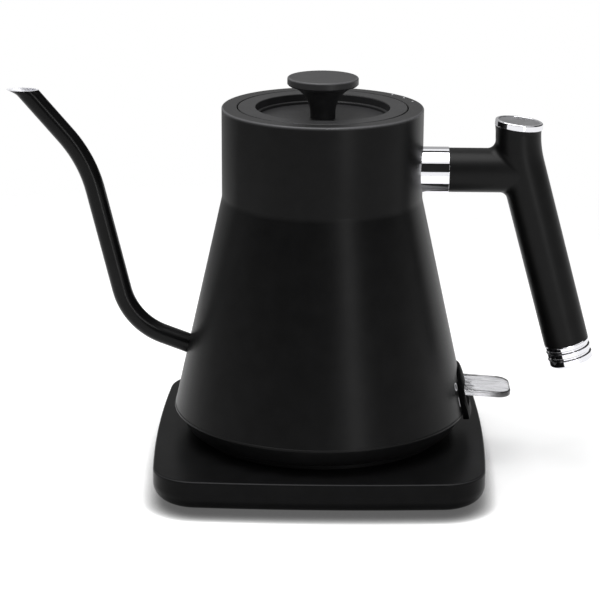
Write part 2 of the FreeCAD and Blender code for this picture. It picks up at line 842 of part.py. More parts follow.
def spout_lip(radius):
    # flared pouring lip between the tube's level cut and the mouth
    long = radius / tip_way.z
    lower = level_ellipse(tip_point(lip_z).x, lip_z, long, radius)
    upper = level_ellipse(tip_point(mouth_z).x - LIP_REACH / 2, mouth_z, long + LIP_REACH / 2,
                          radius + LIP_SPREAD)
    return Part.makeLoft([lower, upper], True, True)


def spout_tube():
    bore = SPOUT_RADIUS - SPOUT_WALL
    above = rod(FAR, V(0, 0, lip_z), UP, FAR)
    tube = spout_run(SPOUT_RADIUS).cut([above, body_solid(WALL), spout_run(bore)])
    lip = spout_lip(SPOUT_RADIUS).cut(spout_lip(bore))
    return tube.fuse(lip).removeSplitter()


# Handle

lean = math.radians(GRIP_LEAN)
grip_axis = V(math.sin(lean), 0, -math.cos(lean))
grip_cross = V(stub_x, 0, cross_z)
grip_end = grip_cross + grip_axis * GRIP_LENGTH
cap_axis = V(math.sin(math.radians(CAP_TILT)), 0, math.cos(math.radians(CAP_TILT)))
cap_seat = grip_cross + UP * STUB_RISE
arm_start = TOP_RADIUS + FERRULE_LENGTH


def handle_post():
    # upright stub bending into the slanted grip
    reach = GRIP_BEND * math.tan(lean / 2)
    high = grip_cross + UP * reach
    low = grip_cross + grip_axis * reach
    spare = STUB_RADIUS * math.tan(math.radians(CAP_TILT)) + SLIP
    stub = Part.makeCone(GRIP_RADIUS, STUB_RADIUS, STUB_RISE - reach + spare, high, UP)
    section = Part.Face(Part.Wire(Part.makeCircle(GRIP_RADIUS, high, UP * -1)))
    bend = section.revolve(high + OUT * GRIP_BEND, BACK * -1, GRIP_LEAN)
    grip = rod(GRIP_RADIUS, low, grip_axis, GRIP_LENGTH - reach)
    post = stub.fuse([bend, grip]).removeSplitter()
    return post.cut(placed(rod(FAR, CENTRE, UP, FAR), cap_seat, cap_axis))


def handle_body():
    arm_end = stub_x + GRIP_CROSS * math.tan(lean)
    arm = rod(ARM_RADIUS, V(arm_start, 0, arm_z), OUT, arm_end - arm_start)
    body = handle_post().fuse(arm).removeSplitter()
    seam = [e for e in body.Edges if borders_arm(body, e) and e.BoundBox.XMax > arm_start + FIT]
    body = body.makeFillet(HANDLE_FILLET, seam)
    return body.cut(rod(BOLT_RADIUS + FIT, V(arm_start, 0, arm_z), OUT, BOLT_GRIP + SLIP))


def borders_arm(body, edge):
    # true for an edge of the level arm's round wall
    for face in body.Faces:
        surface = face.Surface
        level = surface.TypeId == "Part::GeomCylinder" and 1 - abs(surface.Axis.x) < NEAR
        if level and any(edge.isSame(e) for e in face.Edges):
            return True
    return False


def handle_cap_ring():
    outer = STUB_RADIUS + CAP_PROUD
    inner = outer - CAP_BORDER
    ring = turned([
        (inner, 0),
        (outer, 0),
        (outer, CAP_HEIGHT, CAP_ROUND),
        (inner, CAP_HEIGHT),
    ])
    return placed(ring, cap_seat, cap_axis)


def handle_cap_disc():
    inner = STUB_RADIUS + CAP_PROUD - CAP_BORDER - FIT
    return placed(rod(inner, CENTRE, UP, CAP_HEIGHT - CAP_SINK), cap_seat, cap_axis)


def handle_end_cap():
    corners = [(0, 0), (GRIP_RADIUS, 0)]
    for i in range(END_GROOVES):
        start = END_FIRST + i * END_PITCH
        corners.append((GRIP_RADIUS, start))
        corners.append((GRIP_RADIUS - GROOVE_DEPTH, start))
        corners.append((GRIP_RADIUS - GROOVE_DEPTH, start + GROOVE_WIDTH))
        corners.append((GRIP_RADIUS, start + GROOVE_WIDTH))
    corners.append((GRIP_RADIUS, END_LENGTH, END_ROUND))
    corners.append((0, END_LENGTH))
    return placed(turned(corners), grip_end, grip_axis)


def handle_ferrule():
    inner = V(0, 0, arm_z)
    sleeve = rod(FERRULE_RADIUS, inner, OUT, arm_start)
    bolt_hole = rod(BOLT_RADIUS + FIT, inner, OUT, arm_start)
    neck = rod(TOP_RADIUS + FIT, CENTRE, UP, FAR)
    return sleeve.cut([neck, bolt_hole])


def handle_saddle():
    # curved washer inside the neck that spreads the bolt's load
    outer = TOP_RADIUS - WALL - FIT
    wall = rod(outer, CENTRE, UP, FAR)
    wall = wall.cut(rod(outer - SADDLE_THICK, CENTRE, UP, FAR))
    disc = rod(SADDLE_RADIUS, V(0, 0, arm_z), OUT, TOP_RADIUS)
    return wall.common(disc).cut(rod(BOLT_RADIUS + FIT, V(0, 0, arm_z), OUT, TOP_RADIUS))


def handle_bolt():
    inner = TOP_RADIUS - WALL - FIT - SADDLE_THICK
    seat = math.sqrt(inner ** 2 - BOLT_HEAD_RADIUS ** 2)
    length = arm_start + BOLT_GRIP - seat
    bolt = turned([
        (0, -BOLT_HEAD),
        (BOLT_HEAD_RADIUS, -BOLT_HEAD, BOLT_HEAD / 2),
        (BOLT_HEAD_RADIUS, 0),
        (BOLT_RADIUS, 0),
        (BOLT_RADIUS, length),
        (0, length),
    ])
    return placed(bolt, V(seat, 0, arm_z), OUT)


# Switch

pivot = V(pivot_x, 0, pivot_z)
rocker_half = LEVER_WIDTH / 2
ear_from = rocker_half + SLIP


def drooped(shape):
    # turns a piece that was made level down to the lever's off position
    copy = shape.copy()
    copy.rotate(pivot, BACK, LEVER_DROOP)
    return copy


def switch_bezel():
    low = rim_z - BEZEL_BELOW
    high = rim_z + BEZEL_ABOVE
    face_radius = RIM_RADIUS + BEZEL_PROUD
    ring = turned([
        (RIM_RADIUS + FIT, low),
        (face_radius + BEZEL_DRAFT * BEZEL_BELOW, low),
        (face_radius - BEZEL_DRAFT * BEZEL_ABOVE, high),
        (cone_radius(high) + FIT, high),
        (RIM_RADIUS + FIT, rim_z),
    ])
    blank = side_window(BEZEL_HALF, low, high, BEZEL_TOP_CORNER, BEZEL_LOW_CORNER, 0, FAR)
    flange = ring.common(blank)
    outer = [e for e in flange.Edges if on_bezel_face(flange, e)]
    flange = flange.makeFillet(BEZEL_ROUND, outer)
    back = WALL + BEZEL_COLLAR
    sleeve = body_solid(-FIT).cut(body_solid(back))
    inside = side_window(window_half - FIT, window_low + FIT, window_high - FIT, window_corner,
                         BEZEL_LOW_CORNER, 0, FAR)
    collar = sleeve.common(inside)
    bezel = flange.fuse([collar] + bezel_ears()).removeSplitter()
    return bezel.cut(lever_slot())


def on_bezel_face(flange, edge):
    # true for an edge of the outer face, the cone furthest from the axis
    cones = [f for f in flange.Faces if f.Surface.TypeId == "Part::GeomCone"]
    face = max(cones, key=lambda f: f.BoundBox.XMax)
    return any(edge.isSame(e) for e in face.Edges)


def bezel_ears():
    wall_x = cone_radius(pivot_z) - WALL
    ear_high = pivot_z + EAR_RADIUS
    ear_low = pivot_z - EAR_RADIUS
    corners = [
        (pivot_x - EAR_RADIUS, ear_low, EAR_RADIUS),
        (wall_x - BEZEL_COLLAR / 2, ear_low),
        (wall_x - BEZEL_COLLAR / 2, ear_high),
        (pivot_x - EAR_RADIUS, ear_high, EAR_RADIUS),
    ]
    ear = upright_slab(corners, EAR_THICK / 2)
    ear = ear.cut(rod(PIVOT_RADIUS + FIT, pivot - BACK * EAR_THICK, BACK, 2 * EAR_THICK))
    offset = BACK * (ear_from + EAR_THICK / 2)
    return [ear.translated(offset), ear.translated(offset * -1)]


def lever_slot():
    # opening that the lever sweeps from off to on, with room to spare
    inner = ROCKER_NOSE
    outer = RIM_RADIUS + BEZEL_PROUD - pivot_x
    half = LEVER_THICK / 2
    rest = math.radians(LEVER_DROOP)
    down = math.radians(LEVER_DROOP + LEVER_TRAVEL)
    high = pivot_z - inner * math.tan(rest) + half / math.cos(rest) + SLIP
    low = pivot_z - outer * math.tan(down) - half / math.cos(down) - SLIP
    return side_window(rocker_half + SLIP, low, high, SLIP, SLIP, pivot_x + inner, FAR)


def switch_pivot():
    half = ear_from + EAR_THICK
    return rod(PIVOT_RADIUS, pivot - BACK * half, BACK, 2 * half)


def switch_lever():
    # clear tongue with a rounded end, its root held in the rocker
    tip = pivot_x + LEVER_REACH
    corners = [
        (pivot_x + LEVER_ROOT, -rocker_half),
        (tip, -rocker_half, LEVER_CORNER),
        (tip, rocker_half, LEVER_CORNER),
        (pivot_x + LEVER_ROOT, rocker_half),
    ]
    plan = Part.Face(rounded_wire(corners))
    plan.rotate(CENTRE, OUT, -90)
    plan.translate(UP * (pivot_z - LEVER_THICK / 2))
    tongue = plan.extrude(UP * LEVER_THICK)
    low = level_edges(tongue, pivot_z - LEVER_THICK / 2)
    high = level_edges(tongue, pivot_z + LEVER_THICK / 2)
    free = [e for e in low + high if e.BoundBox.XMax > pivot_x + LEVER_ROOT + FIT]
    return drooped(tongue.makeFillet(LEVER_ROUND, free))


def switch_rocker():
    corners = [
        (pivot_x - ROCKER_TAIL, pivot_z - ROCKER_TAIL_HALF, ROCKER_TAIL_HALF / 2),
        (pivot_x, pivot_z - ROCKER_TAIL_HALF),
        (pivot_x, pivot_z - ROCKER_NOSE_HALF),
        (pivot_x + ROCKER_NOSE, pivot_z - ROCKER_NOSE_HALF, ROCKER_TAIL_HALF / 2),
        (pivot_x + ROCKER_NOSE, pivot_z + ROCKER_NOSE_HALF, ROCKER_TAIL_HALF / 2),
        (pivot_x, pivot_z + ROCKER_NOSE_HALF),
        (pivot_x, pivot_z + ROCKER_TAIL_HALF),
        (pivot_x - ROCKER_TAIL, pivot_z + ROCKER_TAIL_HALF, ROCKER_TAIL_HALF / 2),
    ]
    hub = rod(ROCKER_HUB, pivot - BACK * rocker_half, BACK, 2 * rocker_half)
    rocker = upright_slab(corners, rocker_half).fuse(hub).removeSplitter()
    bore = rod(PIVOT_RADIUS + RUN, pivot - BACK * rocker_half, BACK, 2 * rocker_half)
    socket = Part.makeBox(LEVER_REACH, LEVER_WIDTH, LEVER_THICK + 2 * FIT,
                          pivot + V(LEVER_ROOT - FIT, -rocker_half, -LEVER_THICK / 2 - FIT))
    return drooped(rocker.cut([bore, socket]))


pieces = [
    base_cover, base_plate, base_feet, base_screws, connector_post, connector_contacts, cord_gland,
    connector_shutter,
    body_shell, rim_collar, spout_tube, base_cup, weld_studs, cup_screws,
    heating_plate, heat_spreader, heating_element, control_unit, earth_pin, contact_ring,
    bimetal_disc, indicator_lamp, steam_tube,
    handle_ferrule, handle_body, handle_cap_ring, handle_cap_disc, handle_end_cap, handle_bolt,
    handle_saddle, switch_bezel, switch_pivot,
    lid_cover, lid_knob, knob_screw, lid_liner, lid_gasket,
    switch_lever, switch_rocker,
]

os.makedirs("parts", exist_ok=True)
for make in pieces:
    make().exportStep("parts/" + make.__name__ + ".step")
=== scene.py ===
# %% [markdown]
# # A gooseneck kettle on its power base
# The solids of the kettle come in ready made, each one under its own name, and they stay where they are.
# This lesson gives every one of them its finish and models the pieces that need more than a plain solid:
# the drawn spout with its bare steel bore, the rolled hem at the foot of the body, the chrome fittings, the
# switch's frame and the small printed marks. Lengths are in metres, so millimetres are written as a number
# times MM.

# %% Load the solids
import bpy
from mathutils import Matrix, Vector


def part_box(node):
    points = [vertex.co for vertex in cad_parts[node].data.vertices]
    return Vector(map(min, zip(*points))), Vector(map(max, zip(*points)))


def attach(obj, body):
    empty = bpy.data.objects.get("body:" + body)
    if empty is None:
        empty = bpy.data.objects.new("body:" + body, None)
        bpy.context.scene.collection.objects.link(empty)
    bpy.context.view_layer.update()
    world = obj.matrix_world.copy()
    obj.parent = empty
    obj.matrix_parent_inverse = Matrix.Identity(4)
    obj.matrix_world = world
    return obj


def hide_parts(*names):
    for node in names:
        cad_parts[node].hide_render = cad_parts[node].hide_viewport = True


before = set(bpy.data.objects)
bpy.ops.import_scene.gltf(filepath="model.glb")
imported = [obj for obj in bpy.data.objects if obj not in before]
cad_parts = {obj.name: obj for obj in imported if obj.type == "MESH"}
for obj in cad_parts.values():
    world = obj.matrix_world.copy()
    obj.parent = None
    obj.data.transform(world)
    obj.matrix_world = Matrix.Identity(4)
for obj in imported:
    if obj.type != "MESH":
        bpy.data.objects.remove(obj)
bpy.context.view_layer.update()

# %% Tools used all through the lesson
import math

import bmesh
import bpy
from mathutils import Matrix, Vector

MM = 0.001
TURN = 2 * math.pi
scene = bpy.context.scene
scene.view_settings.view_transform = "Standard"
print("view transform:", scene.view_settings.view_transform)

# %% [markdown]
# ## The camera
# A product photograph is taken with a long lens from a little above the rim, so that the lid shows as a
# thin ellipse and the sides hardly converge. A camera could be turned with Euler angles, but building its
# matrix from the three directions right, up and back makes it plain what each column does: the pitch tips
# the view down, and a very small roll takes up the slight tilt of the real camera.

# %% Set up the camera
CAMERA_PLACE = Vector((5.80, -996.37, 382.49)) * MM
PITCH = math.radians(16.867)
ROLL = math.radians(0.552)
SENSOR_WIDTH = 36
FOCAL_LENGTH = 128.26
SHIFT_RIGHT = -0.0553
SHIFT_UP = 0.0053

ahead = Vector((0, math.cos(PITCH), -math.sin(PITCH)))
level_right = Vector((1, 0, 0))
level_up = Vector((0, math.sin(PITCH), math.cos(PITCH)))
right = level_right * math.cos(ROLL) + level_up * math.sin(ROLL)
up = level_up * math.cos(ROLL) - level_right * math.sin(ROLL)

lens = bpy.data.cameras.new("product_camera")
lens.sensor_width = SENSOR_WIDTH
lens.lens = FOCAL_LENGTH
lens.shift_x = SHIFT_RIGHT
lens.shift_y = SHIFT_UP
camera = bpy.data.objects.new("product_camera", lens)
turned = Matrix((right, up, -ahead)).transposed().to_4x4()
camera.matrix_world = Matrix.Translation(CAMERA_PLACE) @ turned
scene.collection.objects.link(camera)
scene.camera = camera
print("camera", round(CAMERA_PLACE.length, 3), "m from the foot of the kettle")

# %% [markdown]
# ## Adding nodes
# World and materials are both trees of nodes, and wiring them up one socket at a time is long-winded. These
# helpers make one node each. A value that is itself a socket is linked, and any other value is typed into
# the node, so a sum reads almost like a sum.

# %% Helpers that add nodes
def feed(tree, sockets, values):
    for socket, value in zip(sockets, values):
        if isinstance(value, bpy.types.NodeSocket):
            tree.links.new(value, socket)
        else:
            socket.default_value = value


def math_node(tree, operation, first, second=0.0, clamp=False):
    step = tree.nodes.new("ShaderNodeMath")
    step.operation = operation
    step.use_clamp = clamp
    feed(tree, step.inputs, (first, second))
    return step.outputs[0]


def vector_node(tree, operation, first, second=(0, 0, 0)):
    step = tree.nodes.new("ShaderNodeVectorMath")
    step.operation = operation
    feed(tree, step.inputs, (first, second))
    return step.outputs["Value" if operation in ("LENGTH", "DISTANCE") else "Vector"]


def range_node(tree, value, start, end, to=(0.0, 1.0), smooth=True):
    step = tree.nodes.new("ShaderNodeMapRange")
    step.interpolation_type = "SMOOTHSTEP" if smooth else "LINEAR"
    names = ("Value", "From Min", "From Max", "To Min", "To Max")
    feed(tree, [step.inputs[name] for name in names], (value, start, end, *to))
    return step.outputs["Result"]


def mix_node(tree, kind, factor, first, second, blend="MIX"):
    step = tree.nodes.new("ShaderNodeMix")
    step.data_type = kind
    step.blend_type = blend
    feed(tree, [s for s in step.inputs if s.enabled], (factor, first, second))
    return next(s for s in step.outputs if s.enabled)


def light_node(tree, kind, colour, strength):
    light = tree.nodes.new(kind)
    feed(tree, (light.inputs["Color"], light.inputs["Strength"]), (colour, strength))
    return light.outputs[0]


def join_shaders(tree, kind, *parts):
    step = tree.nodes.new(kind)
    feed(tree, step.inputs, parts)
    return step.outputs[0]


def object_place(tree):
    return tree.nodes.new("ShaderNodeTexCoord").outputs["Object"]


print("node helpers are ready")

# %% [markdown]
# ## The white studio
# Black things on white are lit by what they reflect. The world is white wherever the camera, a reflection
# or a refraction looks at it, and a dimmer grey where it only fills in the shadows. A Light Path node tells
# the two apart, so the background can be pure white without any more light falling on the kettle.

# %% White world
AMBIENT = 0.36
WHITE = (1, 1, 1, 1)


def looked_at(tree):
    path = tree.nodes.new("ShaderNodeLightPath").outputs
    looks = math_node(tree, "ADD", path["Is Camera Ray"], path["Is Glossy Ray"])
    return math_node(tree, "ADD", looks, path["Is Transmission Ray"], clamp=True)


world = bpy.data.worlds.new("white_studio")
world.use_nodes = True
scene.world = world
sky = world.node_tree
sky.nodes.clear()
shadow_fill = light_node(sky, "ShaderNodeBackground", WHITE, AMBIENT)
plain_white = light_node(sky, "ShaderNodeBackground", WHITE, 1.0)
studio = join_shaders(sky, "ShaderNodeMixShader", looked_at(sky), shadow_fill, plain_white)
outside = sky.nodes.new("ShaderNodeOutputWorld")
sky.links.new(studio, outside.inputs["Surface"])
print("world fills the shadows at", AMBIENT)

# %% [markdown]
# ## The floor
# The floor is a disc of plain white board. Near the kettle it is an ordinary matt surface that catches the
# lamps' soft shadow, with a little white added for what looks at it directly. An occlusion node deepens the
# contact shade. Its half dome leans towards the back, so that the shade gathers in front of the base, as it
# does under a light from behind. Towards its edge the board melts into the white world, so that no horizon
# shows.

# %% White board
FLOOR_RADIUS = 0.62
FLOOR_PLAIN = 0.26
FLOOR_FADED = 0.60
FLOOR_WHITE = 0.96
FLOOR_LIFT = 0.36
CONTACT_REACH = 0.0095
CONTACT_DEPTH = 2.7
CONTACT_LEAN = math.radians(55)
CONTACT_WHITE = 0.26
CONTACT_SAMPLES = 12


def bare_material(name):
    material = bpy.data.materials.new(name)
    material.use_nodes = True
    material.node_tree.nodes.clear()
    return material


def show(tree, shader):
    surface = tree.nodes.new("ShaderNodeOutputMaterial")
    tree.links.new(shader, surface.inputs["Surface"])


board = bare_material("white_board")
tree = board.node_tree
lean = tree.nodes.new("ShaderNodeCombineXYZ")
feed(tree, lean.inputs, (0, math.sin(CONTACT_LEAN), math.cos(CONTACT_LEAN)))
contact = tree.nodes.new("ShaderNodeAmbientOcclusion")
contact.samples = CONTACT_SAMPLES
feed(tree, [contact.inputs[name] for name in ("Color", "Distance", "Normal")],
     ((FLOOR_WHITE, FLOOR_WHITE, FLOOR_WHITE, 1), CONTACT_REACH, lean.outputs["Vector"]))
deepen = tree.nodes.new("ShaderNodeGamma")
feed(tree, deepen.inputs, (contact.outputs["Color"], CONTACT_DEPTH))
shade = deepen.outputs["Color"]
matt = tree.nodes.new("ShaderNodeBsdfDiffuse")
tree.links.new(shade, matt.inputs["Color"])
lift = math_node(tree, "MULTIPLY", looked_at(tree), FLOOR_LIFT)
lit_part = mix_node(tree, "RGBA", CONTACT_WHITE, shade, WHITE)
glow = light_node(tree, "ShaderNodeEmission", lit_part, lift)
near_floor = join_shaders(tree, "ShaderNodeAddShader", matt.outputs[0], glow)
clear = tree.nodes.new("ShaderNodeBsdfTransparent")
fade = range_node(tree, vector_node(tree, "LENGTH", object_place(tree)), FLOOR_PLAIN, FLOOR_FADED)
show(tree, join_shaders(tree, "ShaderNodeMixShader", fade, near_floor, clear.outputs[0]))
print("contact shade reaches", CONTACT_REACH / MM, "mm")

# %% Floor disc
FLOOR_SIDES = 96


def stage_piece(bm, name, material):
    mesh = bpy.data.meshes.new(name)
    bm.to_mesh(mesh)
    bm.free()
    mesh.materials.append(material)
    piece = bpy.data.objects.new(name, mesh)
    scene.collection.objects.link(piece)
    print(name, "has", len(mesh.polygons), "faces")
    return piece


bm = bmesh.new()
bmesh.ops.create_circle(bm, cap_ends=True, radius=FLOOR_RADIUS, segments=FLOOR_SIDES)
stage_piece(bm, "floor", board)

# %% [markdown]
# ## Lamps
# One big soft lamp hangs overhead and gives the shadow. A tall narrow one stands to the right of the camera
# and draws the soft upright streak that runs down the whole body. An area lamp of the right size does both:
# the shape of a highlight is the shape of the lamp.

# %% Two soft lamps
KETTLE_MIDDLE = Vector((0, 0, 0.11))


def soft_lamp(name, place, size, watts):
    lamp = bpy.data.lights.new(name, "AREA")
    lamp.shape = "RECTANGLE"
    lamp.size, lamp.size_y = size
    lamp.energy = watts
    stand = bpy.data.objects.new(name, lamp)
    stand.location = place
    stand.rotation_euler = (KETTLE_MIDDLE - Vector(place)).to_track_quat("-Z", "Y").to_euler()
    scene.collection.objects.link(stand)
    print(name, watts, "W")


def round_the_kettle(degrees_right, distance, height):
    turn = math.radians(degrees_right)
    return Vector((math.sin(turn) * distance, -math.cos(turn) * distance, height))


strip_place = round_the_kettle(degrees_right=27, distance=1.0, height=0.35)
soft_lamp("overhead_softbox", place=(-0.20, -0.15, 1.5), size=(1.5, 1.2), watts=22)
soft_lamp("right_strip", place=strip_place, size=(0.13, 0.9), watts=2.3)

# %% [markdown]
# ## Flags
# The dark side of the room is a curved black flag behind the camera, which the camera itself doesn't see. It
# keeps the front of the body deep black, and it draws the dark bands in the chrome. It is part of a drum: an
# upright edge is spun about the axis of the kettle. A narrow strip of the same cloth hangs overhead and
# draws the thin dark line near the top of the chrome sleeve.

# %% Black flag
FLAG_DISTANCE = 1.6
FLAG_LEFT = -84
FLAG_RIGHT = 160
FLAG_FOOT = 0.16
FLAG_TOP = 1.66
STRIP_PLACE = (0, 0.66, 1.5)
STRIP_HALF_LENGTH = 1.0
STRIP_HALF_WIDTH = 0.17
BLACK_CLOTH = 0.01


def curved_flag(bm, start, end, foot, top, steps):
    edge = [bm.verts.new(round_the_kettle(start, FLAG_DISTANCE, height)) for height in (foot, top)]
    bm.edges.new(edge)
    bmesh.ops.spin(bm, geom=bm.verts[:] + bm.edges[:], cent=(0, 0, 0), axis=(0, 0, 1),
                   angle=math.radians(end - start), steps=steps)


bm = bmesh.new()
curved_flag(bm, FLAG_LEFT, FLAG_RIGHT, FLAG_FOOT, FLAG_TOP, steps=48)
strip_size = Matrix.Diagonal((STRIP_HALF_LENGTH, STRIP_HALF_WIDTH, 1, 1))
bmesh.ops.create_grid(bm, x_segments=4, y_segments=2, size=1.0,
                      matrix=Matrix.Translation(STRIP_PLACE) @ strip_size)
black_cloth = bpy.data.materials.new("black_flag")
black_cloth.use_nodes = True
cloth = black_cloth.node_tree.nodes["Principled BSDF"].inputs
cloth["Base Color"].default_value = (BLACK_CLOTH, BLACK_CLOTH, BLACK_CLOTH, 1)
cloth["Roughness"].default_value = 1.0
dark_flag = stage_piece(bm, "dark_flag", black_cloth)
dark_flag.visible_camera = False

# %% [markdown]
# Flat black tops mirror what stands far behind them. With plain white there, the lid and the knob would look
# pale and their edges would be lost, so a dim grey flag closes the drum at the back. Only reflections see
# it, and it takes no light from the floor.

# %% Grey flag behind the kettle
BACK_GREY = 0.42
BACK_END = 276
BACK_FOOT = -0.3
BACK_TOP = 1.6

bm = bmesh.new()
curved_flag(bm, FLAG_RIGHT, BACK_END, BACK_FOOT, BACK_TOP, steps=24)
grey_cloth = bare_material("grey_flag")
tree = grey_cloth.node_tree
show(tree, light_node(tree, "ShaderNodeEmission", (BACK_GREY, BACK_GREY, BACK_GREY, 1), 1.0))
grey_flag = stage_piece(bm, "grey_flag", grey_cloth)
grey_flag.visible_camera = False
grey_flag.visible_diffuse = False
grey_flag.visible_transmission = False
grey_flag.visible_shadow = False
print("grey flag at", BACK_GREY)

# %% [markdown]
# ## Finishes
# Nothing on a real kettle is one flat colour. Each finish below is a Principled shader whose colour,
# roughness and fine relief all come from noise that is fixed to the object. The helper takes two colours to
# drift between, two roughnesses, the size of the grain and the depth of the relief in millimetres, so a
# finish is one call. What is the same everywhere, such as the gloss level, is set on the shader itself.

# %% A helper that makes a finish
NOISE_LOW = 0.3
NOISE_HIGH = 0.7
RELIEF_STRENGTH = 0.5
DRIFT_DETAIL = 3
FINE_DETAIL = 2
FAINT_BLUE = 0.04


def noise_node(tree, place, size, detail):
    noise = tree.nodes.new("ShaderNodeTexNoise")
    names = ("Vector", "Scale", "Detail")
    feed(tree, [noise.inputs[name] for name in names], (place, 1 / (size * MM), detail))
    return noise.outputs["Fac"]


def ramp_node(tree, value, positions, colours):
    ramp = tree.nodes.new("ShaderNodeValToRGB")
    for stop, position, colour in zip(ramp.color_ramp.elements, positions, colours):
        stop.position = position
        stop.color = colour
    tree.links.new(value, ramp.inputs["Fac"])
    return ramp.outputs["Color"]


def grained_finish(name, colours, rough, grain, depth, metal=0.0, gloss=0.5, stretch=(1, 1, 1), patch=25):
    finish = bpy.data.materials.new(name)
    finish.use_nodes = True
    tree = finish.node_tree
    shader = tree.nodes["Principled BSDF"]
    shader.inputs["Metallic"].default_value = metal
    shader.inputs["Specular IOR Level"].default_value = gloss
    mapping = tree.nodes.new("ShaderNodeMapping")
    mapping.inputs["Scale"].default_value = stretch
    tree.links.new(object_place(tree), mapping.inputs["Vector"])

    drift = noise_node(tree, mapping.outputs["Vector"], grain * patch, DRIFT_DETAIL)
    drifting = ramp_node(tree, drift, (NOISE_LOW, NOISE_HIGH), [(*colour, 1) for colour in colours])
    tree.links.new(drifting, shader.inputs["Base Color"])

    fine = noise_node(tree, mapping.outputs["Vector"], grain, FINE_DETAIL)
    sheen = range_node(tree, fine, NOISE_LOW, NOISE_HIGH, to=rough, smooth=False)
    tree.links.new(sheen, shader.inputs["Roughness"])
    relief = tree.nodes.new("ShaderNodeBump")
    feed(tree, [relief.inputs[name] for name in ("Strength", "Distance", "Height")],
         (RELIEF_STRENGTH, depth * MM, fine))
    tree.links.new(relief.outputs["Normal"], shader.inputs["Normal"])
    print("finish:", name)
    return finish


def grey(level):
    return level, level, level * (1 + FAINT_BLUE)


def greys(low, high):
    return grey(low), grey(high)


# %% [markdown]
# The body is powder painted, and the spout is painted more smoothly. The lid, collar, knob, handle, base and
# cup are moulded plastic, each a little different in grey and in gloss. The greys are so dark that most of
# what the eye sees on them is reflection, which is why the gloss levels differ more than the colours.

# %% Black paint and plastics
body_paint = grained_finish("body_paint", greys(0.0035, 0.0055), rough=(0.30, 0.39), grain=0.35,
                            depth=0.006, gloss=0.11)
spout_paint = grained_finish("spout_paint", greys(0.004, 0.006), rough=(0.17, 0.23), grain=0.35,
                             depth=0.004, gloss=0.13)
lid_plastic = grained_finish("lid_plastic", greys(0.020, 0.026), rough=(0.40, 0.50), grain=0.30,
                             depth=0.006, gloss=0.24)
collar_plastic = grained_finish("collar_plastic", greys(0.010, 0.014), rough=(0.36, 0.44), grain=0.30,
                                depth=0.005, gloss=0.22)
knob_plastic = grained_finish("knob_plastic", greys(0.026, 0.034), rough=(0.34, 0.42), grain=0.30,
                              depth=0.006, gloss=0.20)
base_plastic = grained_finish("base_plastic", greys(0.0045, 0.0065), rough=(0.27, 0.35), grain=0.40,
                              depth=0.006, gloss=0.05)
cup_plastic = grained_finish("cup_plastic", greys(0.006, 0.009), rough=(0.36, 0.46), grain=0.40,
                             depth=0.006, gloss=0.14)
handle_plastic = grained_finish("handle_plastic", greys(0.002, 0.004), rough=(0.34, 0.42), grain=0.30,
                                depth=0.006, gloss=0.16)
bezel_plastic = grained_finish("bezel_plastic", greys(0.001, 0.002), rough=(0.42, 0.55), grain=0.60,
                               depth=0.002, gloss=0.02)
inner_plastic = grained_finish("inner_plastic", greys(0.03, 0.05), rough=(0.45, 0.60), grain=0.40,
                               depth=0.010, gloss=0.30)

# %% [markdown]
# Metals are told apart by grey and by roughness. Chrome is almost a mirror. The heating plate is brushed, so
# its grain is stretched along one axis, and the spout's bore is a satin steel that stays pale in the shade.

# %% Metals
bright_chrome = grained_finish("bright_chrome", greys(0.84, 0.90), rough=(0.03, 0.06), grain=1.20,
                               depth=0.0006, metal=1.0)
inner_steel = grained_finish("inner_steel", greys(0.58, 0.68), rough=(0.18, 0.30), grain=0.25,
                             depth=0.002, metal=1.0, stretch=(1, 1, 0.06))
screw_steel = grained_finish("screw_steel", greys(0.46, 0.56), rough=(0.25, 0.38), grain=0.20,
                             depth=0.003, metal=1.0)
spreader_aluminium = grained_finish("spreader_aluminium", greys(0.70, 0.78), rough=(0.30, 0.42), grain=0.30,
                                    depth=0.006, metal=1.0)
satin_bore = grained_finish("satin_bore", greys(0.80, 0.88), rough=(0.40, 0.50), grain=0.25,
                            depth=0.002, metal=0.25)
# Painted shade: a dark steel for the walls of the grip's grooves, where the chrome shows dark lines.
groove_painted_shade = grained_finish("groove_painted_shade", greys(0.05, 0.12), rough=(0.25, 0.40), grain=0.30,
                                depth=0.002, metal=1.0)
contact_brass = grained_finish("contact_brass", ((0.60, 0.42, 0.16), (0.72, 0.52, 0.22)), rough=(0.20, 0.34),
                               grain=0.25, depth=0.003, metal=1.0)

# %% [markdown]
# Rubber is rough and hardly shines. The cap on the handle is a grey metallic paint, and the lamp behind the
# clear lever is a small amber moulding.

# %% Rubber, the grey cap and the lamp
foot_rubber = grained_finish("foot_rubber", greys(0.012, 0.020), rough=(0.70, 0.85), grain=0.30,
                             depth=0.02, gloss=0.25)
gasket_rubber = grained_finish("gasket_rubber", greys(0.20, 0.26), rough=(0.60, 0.75), grain=0.30,
                               depth=0.015, gloss=0.3)
cap_grey = grained_finish("cap_grey", greys(0.20, 0.27), rough=(0.42, 0.55), grain=0.35,
                          depth=0.02, metal=0.6, gloss=0.4)
lamp_plastic = grained_finish("lamp_plastic", ((0.70, 0.22, 0.05), (0.80, 0.30, 0.08)), rough=(0.20, 0.30),
                              grain=0.40, depth=0.003, gloss=0.5)

# %% [markdown]
# ## Painted edge highlights
# The upper edges of the knob, the collar and the base get a paler colour than the flats, as a painted
# highlight for the thin lines of light along them. The first two are rings, so the distance from the ring,
# worked out from the object's own coordinates, says where the painted highlight goes. The base isn't round,
# but its edge lies at one height, so a thin band of height is enough there.

# %% Paint highlights on three edges
COLLAR_EDGE = (47.8, 177.4)
KNOB_EDGE = (16.6, 191.7)
HIGHLIGHT_REACH = 0.8
HIGHLIGHT_HEART = 0.2
HIGHLIGHT_GREY = (*grey(0.11), 1)
BASE_HIGHLIGHT_LOW = 0.60
BASE_HIGHLIGHT_HIGH = 0.02
BASE_HIGHLIGHT_SOFT = 0.20
BASE_HIGHLIGHT_GREY = (*grey(0.030), 1)


